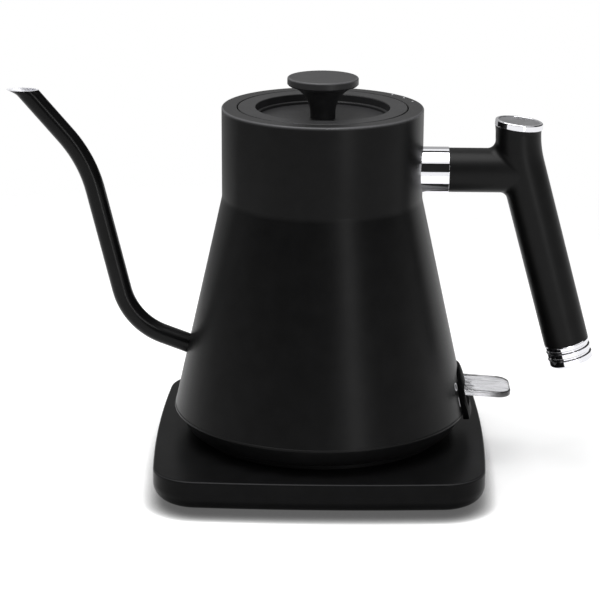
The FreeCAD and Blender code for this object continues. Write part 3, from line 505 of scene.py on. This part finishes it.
def blend_colour(finish, factor, colour, blend="MIX"):
    tree = finish.node_tree
    socket = tree.nodes["Principled BSDF"].inputs["Base Color"]
    present = socket.links[0].from_socket
    tree.links.new(mix_node(tree, "RGBA", factor, present, colour, blend), socket)


def radius_and_height(tree):
    place = vector_node(tree, "MULTIPLY", object_place(tree), (1 / MM, 1 / MM, 1 / MM))
    split = tree.nodes.new("ShaderNodeSeparateXYZ")
    tree.links.new(place, split.inputs[0])
    level = vector_node(tree, "MULTIPLY", place, (1, 1, 0))
    return vector_node(tree, "LENGTH", level), split.outputs["Z"]


def paint_highlight_ring(finish, edge):
    tree = finish.node_tree
    radius, height = radius_and_height(tree)
    profile = tree.nodes.new("ShaderNodeCombineXYZ")
    feed(tree, profile.inputs, (radius, 0, height))
    distance = vector_node(tree, "DISTANCE", profile.outputs["Vector"], (edge[0], 0, edge[1]))
    blend_colour(finish, range_node(tree, distance, HIGHLIGHT_REACH, HIGHLIGHT_HEART), HIGHLIGHT_GREY)


def paint_highlight_band(finish, low, high):
    tree = finish.node_tree
    height = radius_and_height(tree)[1]
    above = range_node(tree, height, low, low + BASE_HIGHLIGHT_SOFT)
    below = range_node(tree, height, high, high - BASE_HIGHLIGHT_SOFT)
    blend_colour(finish, math_node(tree, "MULTIPLY", above, below), BASE_HIGHLIGHT_GREY)


# Painted highlights: a paler grey on the upper edges of the collar, the knob and the base.
paint_highlight_ring(collar_plastic, COLLAR_EDGE)
paint_highlight_ring(knob_plastic, KNOB_EDGE)
base_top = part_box("base_cover")[1][2] / MM
paint_highlight_band(base_plastic, base_top - BASE_HIGHLIGHT_LOW, base_top - BASE_HIGHLIGHT_HIGH)
print("the base's rubbed edge is at", round(base_top, 2), "mm")

# %% [markdown]
# ## Clear acrylic
# The switch lever is moulded from clear acrylic. A refracting shader needs a closed solid, which the lever
# is. Real moulded acrylic is never perfectly flat, so a slow ripple in its relief bends the light a little.
# Where the surface turns away from the eye, its colour is darkened as painted shade.

# %% Acrylic with painted shade on turned edges
ACRYLIC_INDEX = 1.49
EDGE_BLEND = 0.35
EDGE_START = 0.72
EDGE_FULL = 0.92
PAINTED_EDGE_SHADE = (0.05, 0.05, 0.05, 1)

clear_plastic = grained_finish("clear_plastic", greys(0.46, 0.80), rough=(0.015, 0.04), grain=2.5,
                               depth=0.16, gloss=0.5, stretch=(0.28, 1, 1), patch=0.9)
tree = clear_plastic.node_tree
acrylic = tree.nodes["Principled BSDF"]
acrylic.inputs["Transmission Weight"].default_value = 1.0
acrylic.inputs["IOR"].default_value = ACRYLIC_INDEX
# Painted shade: a Layer Weight darkens the colour where the surface turns away from the eye.
turned_away = tree.nodes.new("ShaderNodeLayerWeight")
turned_away.inputs["Blend"].default_value = EDGE_BLEND
painted_edge_tint = ramp_node(tree, turned_away.outputs["Facing"], (EDGE_START, EDGE_FULL), (WHITE, PAINTED_EDGE_SHADE))
blend_colour(clear_plastic, 1.0, painted_edge_tint, "MULTIPLY")
print("acrylic index", ACRYLIC_INDEX)

# %% [markdown]
# Looking along a polished edge of clear acrylic, the eye meets so much of it that the edge looks dark. At
# the tip of the lever this is painted into the colour as a dark outline, a painted shade. The distance to a
# rectangle with round corners, worked out from the object's own coordinates, finds the outline, and a second
# range keeps the painted shade to the tip.

# %% Painted dark outline at the lever's tip
LEVER_TIP = 93.1
LEVER_BACK = 30.0
LEVER_HALF = 12.5
LEVER_CORNER = 7.0
OUTLINE = 1.1
OUTLINE_FULL = 0.3
TIP_START = 14
TIP_FULL = 4
PAINTED_OUTLINE_SHADE = (0.04, 0.04, 0.04, 1)

lever_middle = (LEVER_TIP + LEVER_BACK) / 2
straight = (LEVER_TIP - lever_middle - LEVER_CORNER, LEVER_HALF - LEVER_CORNER, 0)
flat = vector_node(tree, "MULTIPLY", object_place(tree), (1 / MM, 1 / MM, 0))
folded = vector_node(tree, "ABSOLUTE", vector_node(tree, "SUBTRACT", flat, (lever_middle, 0, 0)))
past = vector_node(tree, "MAXIMUM", vector_node(tree, "SUBTRACT", folded, straight), (0, 0, 0))
painted_outline_mask = range_node(tree, vector_node(tree, "LENGTH", past), LEVER_CORNER - OUTLINE,
                          LEVER_CORNER - OUTLINE_FULL)
split = tree.nodes.new("ShaderNodeSeparateXYZ")
tree.links.new(flat, split.inputs[0])
at_tip = range_node(tree, split.outputs["X"], LEVER_TIP - TIP_START, LEVER_TIP - TIP_FULL)
# Painted shade: the dark outline round the lever's tip.
blend_colour(clear_plastic, math_node(tree, "MULTIPLY", painted_outline_mask, at_tip), PAINTED_OUTLINE_SHADE)
print("dark outline", OUTLINE, "mm wide")

# %% [markdown]
# ## Dressing the solids
# Every solid that keeps its own shape gets its finish in its material slot. The meshes themselves aren't
# touched, so they stay exactly as they were packed.

# %% Give each solid its finish
FINISH_OF = {
    body_paint: ["body_shell"],
    lid_plastic: ["lid_cover"],
    collar_plastic: ["rim_collar"],
    knob_plastic: ["lid_knob"],
    base_plastic: ["base_cover", "cord_gland"],
    cup_plastic: ["base_cup", "switch_rocker"],
    handle_plastic: ["handle_body"],
    inner_plastic: ["base_plate", "connector_post", "connector_shutter", "control_unit", "steam_tube",
                    "handle_saddle", "lid_liner"],
    inner_steel: ["heating_plate", "weld_studs"],
    screw_steel: ["base_screws", "cup_screws", "handle_bolt", "knob_screw", "switch_pivot", "bimetal_disc"],
    spreader_aluminium: ["heat_spreader", "heating_element"],
    contact_brass: ["connector_contacts", "earth_pin", "contact_ring"],
    foot_rubber: ["base_feet"],
    gasket_rubber: ["lid_gasket"],
    cap_grey: ["handle_cap_disc"],
    lamp_plastic: ["indicator_lamp"],
    clear_plastic: ["switch_lever"],
}
for finish, names in FINISH_OF.items():
    for name in names:
        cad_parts[name].material_slots[0].material = finish
dressed = sum(len(names) for names in FINISH_OF.values())
print("dressed", dressed, "of", len(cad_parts))

# %% [markdown]
# ## Bare steel inside, paint outside
# The body is one sheet of stainless steel that is painted on the outside only. The solid is a single piece,
# so the paint has to know where it stops. The cone and the neck are exact, which means that the height gives
# the outer radius. Whatever lies more than half the sheet inside that radius is left bare.

# %% Leave the inside of the body bare
RIM_RADIUS = 71.5
NECK_RADIUS = 48.0
RIM_Z = 29.5
KINK_Z = 134.0
SHEET = 0.8
CONE_SLOPE = (RIM_RADIUS - NECK_RADIUS) / (KINK_Z - RIM_Z)
BARE_STEEL = (0.60, 0.60, 0.61, 1)
BARE_ROUGH = 0.28


def cone_radius(height):
    return min(RIM_RADIUS, max(NECK_RADIUS, RIM_RADIUS - (height - RIM_Z) * CONE_SLOPE))


tree = body_paint.node_tree
shader = tree.nodes["Principled BSDF"]
radius, height = radius_and_height(tree)
drop = math_node(tree, "MULTIPLY", height, -CONE_SLOPE)
cone = math_node(tree, "ADD", drop, RIM_RADIUS + RIM_Z * CONE_SLOPE - SHEET / 2)
mid_sheet = math_node(tree, "MAXIMUM", cone, NECK_RADIUS - SHEET / 2)
painted = math_node(tree, "GREATER_THAN", radius, mid_sheet)
unpainted = math_node(tree, "SUBTRACT", 1.0, painted)
paint_rough = shader.inputs["Roughness"].links[0].from_socket
blend_colour(body_paint, unpainted, BARE_STEEL)
tree.links.new(unpainted, shader.inputs["Metallic"])
tree.links.new(mix_node(tree, "FLOAT", unpainted, paint_rough, BARE_ROUGH), shader.inputs["Roughness"])
print("paint stops", SHEET / 2, "mm inside the wall")

# %% [markdown]
# ## Making a piece
# Each new piece is a bmesh that is written to a mesh, shaded smooth with its real edges kept sharp, hung on
# the body that carries it and given its slot. Turned pieces start as a few corners joined by a line. The
# corners are rounded with a vertex bevel, where the bevel's offset is the tangent length of the arc, and
# then the line is spun once round.

# %% Helpers that finish and place a piece
SHARP_EDGE = math.radians(35)


def add_piece(bm, name, body, finishes, stands_for=()):
    mesh = bpy.data.meshes.new(name)
    bm.to_mesh(mesh)
    bm.free()
    for finish in finishes:
        mesh.materials.append(finish)
    mesh.shade_smooth()
    mesh.set_sharp_from_angle(angle=SHARP_EDGE)
    piece = bpy.data.objects.new(name, mesh)
    scene.collection.objects.link(piece)
    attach(piece, body)
    if stands_for:
        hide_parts(*stands_for)
    flats = piece.modifiers.new("flats", "WEIGHTED_NORMAL")
    flats.keep_sharp = True
    print(name, "has", len(mesh.polygons), "faces")


def stand_on(bm, point, direction):
    turn = Vector(direction).to_track_quat("Z", "Y").to_matrix().to_4x4()
    bmesh.ops.transform(bm, matrix=Matrix.Translation(Vector(point) * MM) @ turn, verts=bm.verts)


print("edges sharper than", round(math.degrees(SHARP_EDGE)), "degrees stay crisp")

# %% Helpers that shape a piece
ROUND_STEPS = 6
MERGE = 0.001 * MM


def round_corner(bm, corner, radius):
    one, other = [(e.other_vert(corner).co - corner.co).normalized() for e in corner.link_edges]
    tangent = radius / math.tan(one.angle(other) / 2)
    bmesh.ops.bevel(bm, geom=[corner], offset=tangent, offset_type="OFFSET", segments=ROUND_STEPS,
                    profile=0.5, affect="VERTICES", material=-1)


def outline(bm, corners, closed):
    points = [bm.verts.new(Vector(corner[0]) * MM) for corner in corners]
    for first, second in zip(points, points[1:]):
        bm.edges.new((first, second))
    if closed:
        bm.edges.new((points[-1], points[0]))
    for point, corner in zip(points, corners):
        if corner[1]:
            round_corner(bm, point, corner[1] * MM)


def turned_piece(profile, closed, steps=96):
    bm = bmesh.new()
    outline(bm, [((radius, 0, height), bend) for radius, height, bend in profile], closed)
    bmesh.ops.spin(bm, geom=bm.verts[:] + bm.edges[:], cent=(0, 0, 0), axis=(0, 0, 1), angle=TURN,
                   steps=steps, use_merge=True)
    bmesh.ops.remove_doubles(bm, verts=bm.verts, dist=MERGE)
    bmesh.ops.recalc_face_normals(bm, faces=bm.faces)
    return bm


def cut(bm, point, normal, **cleared):
    whole = bm.verts[:] + bm.edges[:] + bm.faces[:]
    bmesh.ops.bisect_plane(bm, geom=whole, plane_co=point, plane_no=normal, **cleared)


def raised(bm, faces):
    made = bmesh.ops.extrude_face_region(bm, geom=faces, use_keep_orig=True)["geom"]
    return [g for g in made if isinstance(g, bmesh.types.BMVert)]


print("each rounded corner has", ROUND_STEPS, "steps")

# %% [markdown]
# ## The gooseneck spout
# The spout is a drawn steel tube with two bends and a mouth that is cut level and beaten out into a pouring
# lip. A curve with a bevel could give the tube, but the lip needs the tube's own ring of edges. So one
# circle is extruded along the straights and spun round the bends, the end is cut level, and the cut edge is
# carried on in small steps that reach further and further out on the pouring side. A second, narrower skin
# is made in the same way and turned inside out. Bridges at the mouth and at the root then join the two into
# a tube that is painted outside and bare inside and on the rim.

# %% Spout line
SPOUT_RADIUS = 4.7
SPOUT_WALL = 0.8
ELBOW = Vector((-93.0, 0, 70.0))
ROOT_RISE = 20.5
NECK_LEAN = 13.4
TIP_LEAN = 40.4
NECK_RISE = 90 - NECK_LEAN
TIP_RISE = 90 - TIP_LEAN
ROOT_LENGTH = 45
NECK_LENGTH = 83.2
TIP_LENGTH = 60
LOWER_BEND = 32.0
UPPER_BEND = 64.0


def spout_way(rise):
    angle = math.radians(rise)
    return Vector((-math.cos(angle), 0, math.sin(angle)))


KNEE = ELBOW + spout_way(NECK_RISE) * NECK_LENGTH
print("the spout's upper bend is near", [round(c, 1) for c in KNEE], "mm")

# %% Pouring lip
LIP_Z = 181.5
MOUTH_Z = 184.5
LIP_REACH = 2.7
LIP_WIDEN = 1.006
LIP_STEPS = 6


def newest(made):
    verts = [g for g in made if isinstance(g, bmesh.types.BMVert)]
    edges = [g for g in made if isinstance(g, bmesh.types.BMEdge) and all(v in verts for v in g.verts)]
    return verts, edges


def carry_on(bm, edges, move):
    made = bmesh.ops.extrude_edge_only(bm, edges=edges)["geom"]
    verts, edges = newest(made)
    bmesh.ops.translate(bm, vec=move, verts=verts)
    return verts, edges


def pouring_lip(bm, way):
    level = {v for v in bm.verts if abs(v.co.z - LIP_Z * MM) < MERGE}
    edges = [e for e in bm.edges if e.is_boundary and all(v in level for v in e.verts)]
    span = max(v.co.x for v in level) - min(v.co.x for v in level)
    rise = (MOUTH_Z - LIP_Z) / LIP_STEPS
    grown = 0.0
    for step in range(1, LIP_STEPS + 1):
        verts, edges = carry_on(bm, edges, way * (rise / way.z) * MM)
        heel = max(verts, key=lambda v: v.co.x).co.copy()
        reach = LIP_REACH * MM * (step / LIP_STEPS) ** 2
        stretch = (span + reach) / (span + grown)
        bmesh.ops.scale(bm, vec=(stretch, LIP_WIDEN, 1), space=Matrix.Translation(-heel), verts=verts)
        grown = reach
    return bm


print("the lip reaches out", LIP_REACH, "mm")

# %% Two skins, from inside the body to the lip
SPOUT_SIDES = 40
BEND_STEPS = 18


def spout_skin(bm, radius):
    made = bmesh.ops.create_circle(bm, radius=radius * MM, segments=SPOUT_SIDES)["verts"]
    at = ELBOW - spout_way(ROOT_RISE) * ROOT_LENGTH
    stand_on(bm, at, spout_way(ROOT_RISE))
    edges = list({e for v in made for e in v.link_edges})
    ways = [spout_way(rise) for rise in (ROOT_RISE, NECK_RISE, TIP_RISE)]
    for corner, bend, before, after in ((ELBOW, LOWER_BEND, *ways[:2]), (KNEE, UPPER_BEND, *ways[1:])):
        turn = before.angle(after)
        tangent = bend * math.tan(turn / 2)
        first = corner - before * tangent
        verts, edges = carry_on(bm, edges, (first - at) * MM)
        axis = before.cross(after).normalized()
        centre = first + axis.cross(before) * bend
        made = bmesh.ops.spin(bm, geom=verts + edges, cent=centre * MM, axis=axis, angle=turn,
                              steps=BEND_STEPS)
        verts, edges = newest(made["geom_last"])
        at = corner + after * tangent
    carry_on(bm, edges, ways[2] * TIP_LENGTH * MM)
    cut(bm, (0, 0, LIP_Z * MM), (0, 0, 1), clear_outer=True)
    return pouring_lip(bm, ways[2])


outer_skin = spout_skin(bmesh.new(), SPOUT_RADIUS)
inner_skin = spout_skin(bmesh.new(), SPOUT_RADIUS - SPOUT_WALL)
print("spout height", round(max(v.co.z for v in outer_skin.verts) / MM, 2), "mm")

# %% Join the two skins into a tube
BARE = 1
ROOT_Z = 53.2


def open_ends(bm, at_mouth):
    return [e for e in bm.edges if e.is_boundary and (e.verts[0].co.z > LIP_Z * MM) == at_mouth]


bm = outer_skin
for face in inner_skin.faces:
    face.material_index = BARE
bmesh.ops.reverse_faces(inner_skin, faces=inner_skin.faces)
bore = bpy.data.meshes.new("bore")
inner_skin.to_mesh(bore)
inner_skin.free()
bm.from_mesh(bore)
bpy.data.meshes.remove(bore)
root_at = (-(cone_radius(ROOT_Z) - SHEET / 2) * MM, 0, ROOT_Z * MM)
out_of_wall = Vector((-1, 0, CONE_SLOPE)).normalized()
cut(bm, root_at, out_of_wall, clear_inner=True)
for at_mouth in (True, False):
    for face in bmesh.ops.bridge_loops(bm, edges=open_ends(bm, at_mouth))["faces"]:
        face.material_index = BARE
bmesh.ops.recalc_face_normals(bm, faces=bm.faces)
add_piece(bm, "spout", "kettle", (spout_paint, satin_bore), ["spout_tube"])
low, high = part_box("spout_tube")
print("solid spout from", [round(c / MM, 1) for c in low], "to", [round(c / MM, 1) for c in high])

# %% [markdown]
# ## The rolled hem
# The lower edge of the steel cone isn't a raw cut. The sheet is rolled into a slim hem that stands a little
# proud and catches one thin line of light all round. It could be a bump in the paint, but an outline needs
# real shape, so a small closed profile with round corners is turned on the lathe.

# %% Hem at the foot of the body
HEM_INSIDE = 70.9
HEM_PROUD = 0.16
HEM_FOOT = RIM_Z + 0.02
HEM_SHOULDER = RIM_Z + 1.1
HEM_TOP = RIM_Z + 1.3
HEM_ROUND = 0.3
hem = [(HEM_INSIDE, HEM_FOOT, 0), (RIM_RADIUS + HEM_PROUD, HEM_FOOT, HEM_ROUND),
       (RIM_RADIUS, HEM_SHOULDER, HEM_ROUND), (HEM_INSIDE, HEM_TOP, 0)]
bm = turned_piece(hem, closed=True, steps=160)
add_piece(bm, "body_hem", "kettle", [body_paint])

# %% [markdown]
# ## Chrome fittings
# The handle has three bright fittings: a sleeve at the body, a rim round the top cap and a grooved end. They
# are all turned parts, and chrome shows every edge, so each corner gets its own small round. The sleeve
# meets the round neck, so the points of its back end are moved onto a cylinder.

# %% Ferrule at the neck
ARM_Z = 147.6
ARM_START = 60.3
FERRULE_RADIUS = 11.0
FERRULE_BORE = 7.0
FERRULE_BACK = 47.5
FERRULE_ROUND = 0.12
BACK_END_DEPTH = 0.1

ferrule_length = ARM_START - FERRULE_BACK
sleeve = [(FERRULE_BORE, 0, 0), (FERRULE_RADIUS, 0, 0), (FERRULE_RADIUS, ferrule_length, FERRULE_ROUND),
          (FERRULE_BORE, ferrule_length, 0)]
bm = turned_piece(sleeve, closed=True)
stand_on(bm, (FERRULE_BACK, 0, ARM_Z), (1, 0, 0))
for vert in bm.verts:
    if vert.co.x < (FERRULE_BACK + BACK_END_DEPTH) * MM:
        vert.co.x = math.sqrt((FERRULE_BACK * MM) ** 2 - vert.co.y ** 2)
add_piece(bm, "ferrule", "kettle", [bright_chrome], ["handle_ferrule"])

# %% [markdown]
# The rim is a plain ring with a large round on its outer upper edge, which turns the white of the room into
# one bright line. It is turned upright and then stood on the tilted seat of the cap.

# %% Rim round the top cap
CAP_SEAT = (93.1, 0, 168.85)
CAP_TILT = math.radians(5.5)
CAP_WAY = (math.sin(CAP_TILT), 0, math.cos(CAP_TILT))
CAP_BORE = 9.9
CAP_RADIUS = 11.4
CAP_TALL = 3.0
CAP_ROUNDS = (0.25, 0.6, 0.3)
rim = [(CAP_BORE, 0, 0), (CAP_RADIUS, 0, CAP_ROUNDS[0]), (CAP_RADIUS, CAP_TALL, CAP_ROUNDS[1]),
       (CAP_BORE, CAP_TALL, CAP_ROUNDS[2])]
bm = turned_piece(rim, closed=True)
stand_on(bm, CAP_SEAT, CAP_WAY)
add_piece(bm, "cap_rim", "kettle", [bright_chrome], ["handle_cap_ring"])

# %% [markdown]
# The end of the grip has two grooves cut round it. They are part of the turned profile, and their walls get
# a dark steel as painted shade, for the dark lines that the grooves show in the chrome.

# %% Grooved end of the grip
GRIP_LEAN = math.radians(15.7)
GRIP_WAY = Vector((math.sin(GRIP_LEAN), 0, -math.cos(GRIP_LEAN)))
GRIP_TOP = Vector((93.1, 0, 158.2))
GRIP_LENGTH = 99.0
END_RADIUS = 10.85
END_LENGTH = 11.4
END_ROUND = 1.4
NECKED_RADIUS = 10.3
NECKED_LENGTH = 0.7
NECKED_ROUND = 0.3
GROOVES = (2.3, 6.0)
GROOVE_RADIUS = 10.1
GROOVE_WIDE = 1.6
GROOVE_SLOPE = 0.4
LIP_ROUND = 0.12
BED_ROUND = 0.1
SHADED_WALL_RADII = (10.12, 10.78)
SHADED_WALL_HEIGHTS = (2.0, 8.0)

end = [(0, 0, 0), (NECKED_RADIUS, 0, 0), (END_RADIUS, NECKED_LENGTH, NECKED_ROUND)]
for start in GROOVES:
    stop = start + GROOVE_WIDE
    end += [(END_RADIUS, start, LIP_ROUND), (GROOVE_RADIUS, start + GROOVE_SLOPE, BED_ROUND),
            (GROOVE_RADIUS, stop - GROOVE_SLOPE, BED_ROUND), (END_RADIUS, stop, LIP_ROUND)]
end += [(END_RADIUS, END_LENGTH, END_ROUND), (0, END_LENGTH, 0)]
bm = turned_piece(end, closed=False)
# The groove walls get the dark steel, a painted shade.
for face in bm.faces:
    spot = face.calc_center_median() / MM
    on_a_wall = SHADED_WALL_RADII[0] < spot.xy.length < SHADED_WALL_RADII[1]
    by_a_groove = SHADED_WALL_HEIGHTS[0] < spot.z < SHADED_WALL_HEIGHTS[1]
    face.material_index = int(on_a_wall and by_a_groove)
stand_on(bm, GRIP_TOP + GRIP_WAY * GRIP_LENGTH, GRIP_WAY)
add_piece(bm, "grip_end", "kettle", (bright_chrome, groove_painted_shade), ["handle_end_cap"])

# %% [markdown]
# ## The switch bezel
# A satin black frame lies on the cone and guides the clear lever. Seen from the front it is an arched plate
# with a slot, so it starts flat: an outer and an inner outline are bridged, cut into strips so that the
# plate can bend, and thickened. Then every point is pushed out to the cone. The face rolls over towards the
# arch and towards the foot, which gives the soft shoulders that the real one has.

# %% The bezel's rolled face
BEZEL_HALF = 17.0
BEZEL_LOW = 26.2
BEZEL_HIGH = 49.6
BEZEL_ARCH = 13.0
FACE_RADIUS = 74.1
FACE_SLOPE = 0.256
ARCH_ROLL = 6.0
ARCH_EDGE = 0.25
FOOT_ROLL = 2.4
FOOT_EDGE = 0.35


def rolled(share, edge):
    return edge + (1 - edge) * math.sqrt(1 - (1 - share) ** 2)


def bezel_radius(across, height):
    face = FACE_RADIUS - FACE_SLOPE * (height - RIM_Z)
    over = max(0.0, abs(across) - (BEZEL_HALF - BEZEL_ARCH))
    arch = BEZEL_HIGH - BEZEL_ARCH + math.sqrt(max(0.0, BEZEL_ARCH ** 2 - over ** 2))
    below_arch = min(1.0, max(0.0, arch - height) / ARCH_ROLL)
    above_foot = min(1.0, max(0.0, height - BEZEL_LOW) / FOOT_ROLL)
    roll = rolled(below_arch, ARCH_EDGE) * rolled(above_foot, FOOT_EDGE)
    return cone_radius(height) + (face - cone_radius(height)) * roll


print("the bezel stands", round(bezel_radius(0, RIM_Z) - RIM_RADIUS, 2), "mm proud at the rim")

# %% Bezel plate
FOOT_CORNER = 3.0
SLOT_HALF = 12.8
SLOT_LOW = 32.4
SLOT_HIGH = 41.8
SLOT_CORNER = 0.4
CUTS_ACROSS = range(-15, 16, 3)
CUTS_UP = (26.4, 26.7, 27.1, 27.6, 28, 30, 32, 35, 37, 39, 41, 42.5, 43.5, 44.5, 45.5, 46.5, 47.3, 48, 48.6,
           49.1)
CUT_MERGE = 0.02 * MM
BEZEL_LIFT = 0.03
BEZEL_ROUND = 0.35 * MM

bm = bmesh.new()
outline(bm, [((0, -BEZEL_HALF, BEZEL_LOW), FOOT_CORNER), ((0, BEZEL_HALF, BEZEL_LOW), FOOT_CORNER),
             ((0, BEZEL_HALF, BEZEL_HIGH), BEZEL_ARCH), ((0, -BEZEL_HALF, BEZEL_HIGH), BEZEL_ARCH)], True)
outline(bm, [((0, -SLOT_HALF, SLOT_LOW), SLOT_CORNER), ((0, SLOT_HALF, SLOT_LOW), SLOT_CORNER),
             ((0, SLOT_HALF, SLOT_HIGH), SLOT_CORNER), ((0, -SLOT_HALF, SLOT_HIGH), SLOT_CORNER)], True)
bmesh.ops.bridge_loops(bm, edges=bm.edges[:])
for across in CUTS_ACROSS:
    cut(bm, (0, across * MM, 0), (0, 1, 0))
for height in CUTS_UP:
    cut(bm, (0, 0, height * MM), (0, 0, 1))
bmesh.ops.remove_doubles(bm, verts=bm.verts, dist=CUT_MERGE)
back = bm.verts[:]
front = set(raised(bm, bm.faces[:]))
for vert in back:
    reach = (cone_radius(vert.co.z / MM) + BEZEL_LIFT) * MM
    vert.co.x = math.sqrt(reach ** 2 - vert.co.y ** 2)
for vert in front:
    reach = bezel_radius(vert.co.y / MM, vert.co.z / MM) * MM
    vert.co.x = math.sqrt(reach ** 2 - vert.co.y ** 2)
bmesh.ops.recalc_face_normals(bm, faces=bm.faces)
rims = [e for e in bm.edges if all(v in front for v in e.verts)
        and any(not all(v in front for v in f.verts) for f in e.link_faces)]
bmesh.ops.bevel(bm, geom=rims, offset=BEZEL_ROUND, offset_type="OFFSET", segments=3, profile=0.5,
                affect="EDGES", material=-1, clamp_overlap=True)
print("bezel plate has", len(bm.faces), "faces")

# %% [markdown]
# Behind the slot, two ears hold the pin that the lever turns on. Each is a small plate with its two back
# corners rounded, drawn as an outline, filled and given its thickness away from the lever. They belong to
# the same moulding, so they go into the same mesh.

# %% Ears that hold the lever's pin
EAR_INSIDE = 12.9
EAR_THICK = 2.2
EAR_BACK = 53.8
EAR_FRONT = 67.2
EAR_LOW = 36.1
EAR_HIGH = 44.5
EAR_ROUND = 4.1
for side in (-1, 1):
    plate = set(bm.edges)
    inside = side * EAR_INSIDE
    outline(bm, [((EAR_BACK, inside, EAR_LOW), EAR_ROUND), ((EAR_FRONT, inside, EAR_LOW), 0),
                 ((EAR_FRONT, inside, EAR_HIGH), 0), ((EAR_BACK, inside, EAR_HIGH), EAR_ROUND)], True)
    ear = bmesh.ops.contextual_create(bm, geom=[e for e in bm.edges if e not in plate])["faces"]
    bmesh.ops.translate(bm, vec=(0, side * EAR_THICK * MM, 0), verts=raised(bm, ear))
bmesh.ops.recalc_face_normals(bm, faces=bm.faces)
add_piece(bm, "bezel", "kettle", [bezel_plastic], ["switch_bezel"])

# %% [markdown]
# ## Small printed and inlaid marks
# Three white dots close the steam vents in the collar, and a ring and a bar beside the switch say off and
# on. They could be painted by a mask in the finish, but as thin inlays they keep a crisp edge at any
# distance. The dots are short cones with a rounded top. The ring and the bar are made flat, given a little
# thickness and stood on the cone along its normal.

# %% White enamel
white_enamel = grained_finish("white_enamel", greys(0.72, 0.80), rough=(0.35, 0.5), grain=0.25,
                              depth=0.004, gloss=0.4)

# %% Vent dots
VENT_CIRCLE = 45.4
VENT_ANGLES = (18.7, 30.4, 42.1)
TOP_Z = 177.7
DOT_SINK = 0.6
DOT_FOOT = 0.62 * MM
DOT_TOP = 0.50 * MM
DOT_TALL = 1.3 * MM
DOT_ROUND = 0.15 * MM
bm = bmesh.new()
for degrees in VENT_ANGLES:
    angle = math.radians(degrees)
    spot = Vector((math.cos(angle), math.sin(angle), 0)) * VENT_CIRCLE + Vector((0, 0, TOP_Z - DOT_SINK))
    made = bmesh.ops.create_cone(bm, cap_ends=True, segments=20, radius1=DOT_FOOT, radius2=DOT_TOP,
                                 depth=DOT_TALL, matrix=Matrix.Translation(spot * MM))
    top = [v for v in made["verts"] if v.co.z > spot.z * MM]
    top_edges = [e for e in bm.edges if all(v in top for v in e.verts)]
    bmesh.ops.bevel(bm, geom=top_edges, offset=DOT_ROUND, offset_type="OFFSET", segments=2, profile=0.5,
                    affect="EDGES", material=-1)
add_piece(bm, "vent_dots", "kettle", [white_enamel])

# %% Off ring
MARK_THICK = 0.08
RING_OUTSIDE = 2.0 * MM
RING_INSIDE = 1.35 * MM


def stand_on_cone(bm, degrees, height):
    angle = math.radians(degrees)
    out = Vector((math.cos(angle), math.sin(angle), CONE_SLOPE)).normalized()
    spot = Vector((math.cos(angle), math.sin(angle), 0)) * cone_radius(height) + Vector((0, 0, height))
    across = Vector((0, 0, 1)).cross(out).normalized()
    turn = Matrix((across, out.cross(across), out)).transposed().to_4x4()
    bmesh.ops.transform(bm, matrix=Matrix.Translation(spot * MM) @ turn, verts=bm.verts)


def thicken(bm):
    bmesh.ops.translate(bm, vec=(0, 0, MARK_THICK * MM), verts=raised(bm, bm.faces[:]))
    bmesh.ops.recalc_face_normals(bm, faces=bm.faces)


bm = bmesh.new()
for radius in (RING_OUTSIDE, RING_INSIDE):
    bmesh.ops.create_circle(bm, radius=radius, segments=48)
bmesh.ops.bridge_loops(bm, edges=bm.edges[:])
thicken(bm)
stand_on_cone(bm, degrees=-16.0, height=44.4)
add_piece(bm, "off_ring", "kettle", [white_enamel])

# %% On bar
BAR_WIDE = 0.35
BAR_TALL = 2.4
BAR_ROUND = 0.3
bm = bmesh.new()
outline(bm, [((-BAR_WIDE, -BAR_TALL, 0), BAR_ROUND), ((BAR_WIDE, -BAR_TALL, 0), BAR_ROUND),
             ((BAR_WIDE, BAR_TALL, 0), BAR_ROUND), ((-BAR_WIDE, BAR_TALL, 0), BAR_ROUND)], True)
bmesh.ops.contextual_create(bm, geom=bm.edges[:])
thicken(bm)
stand_on_cone(bm, degrees=-15.4, height=36.6)
add_piece(bm, "on_bar", "kettle", [white_enamel])
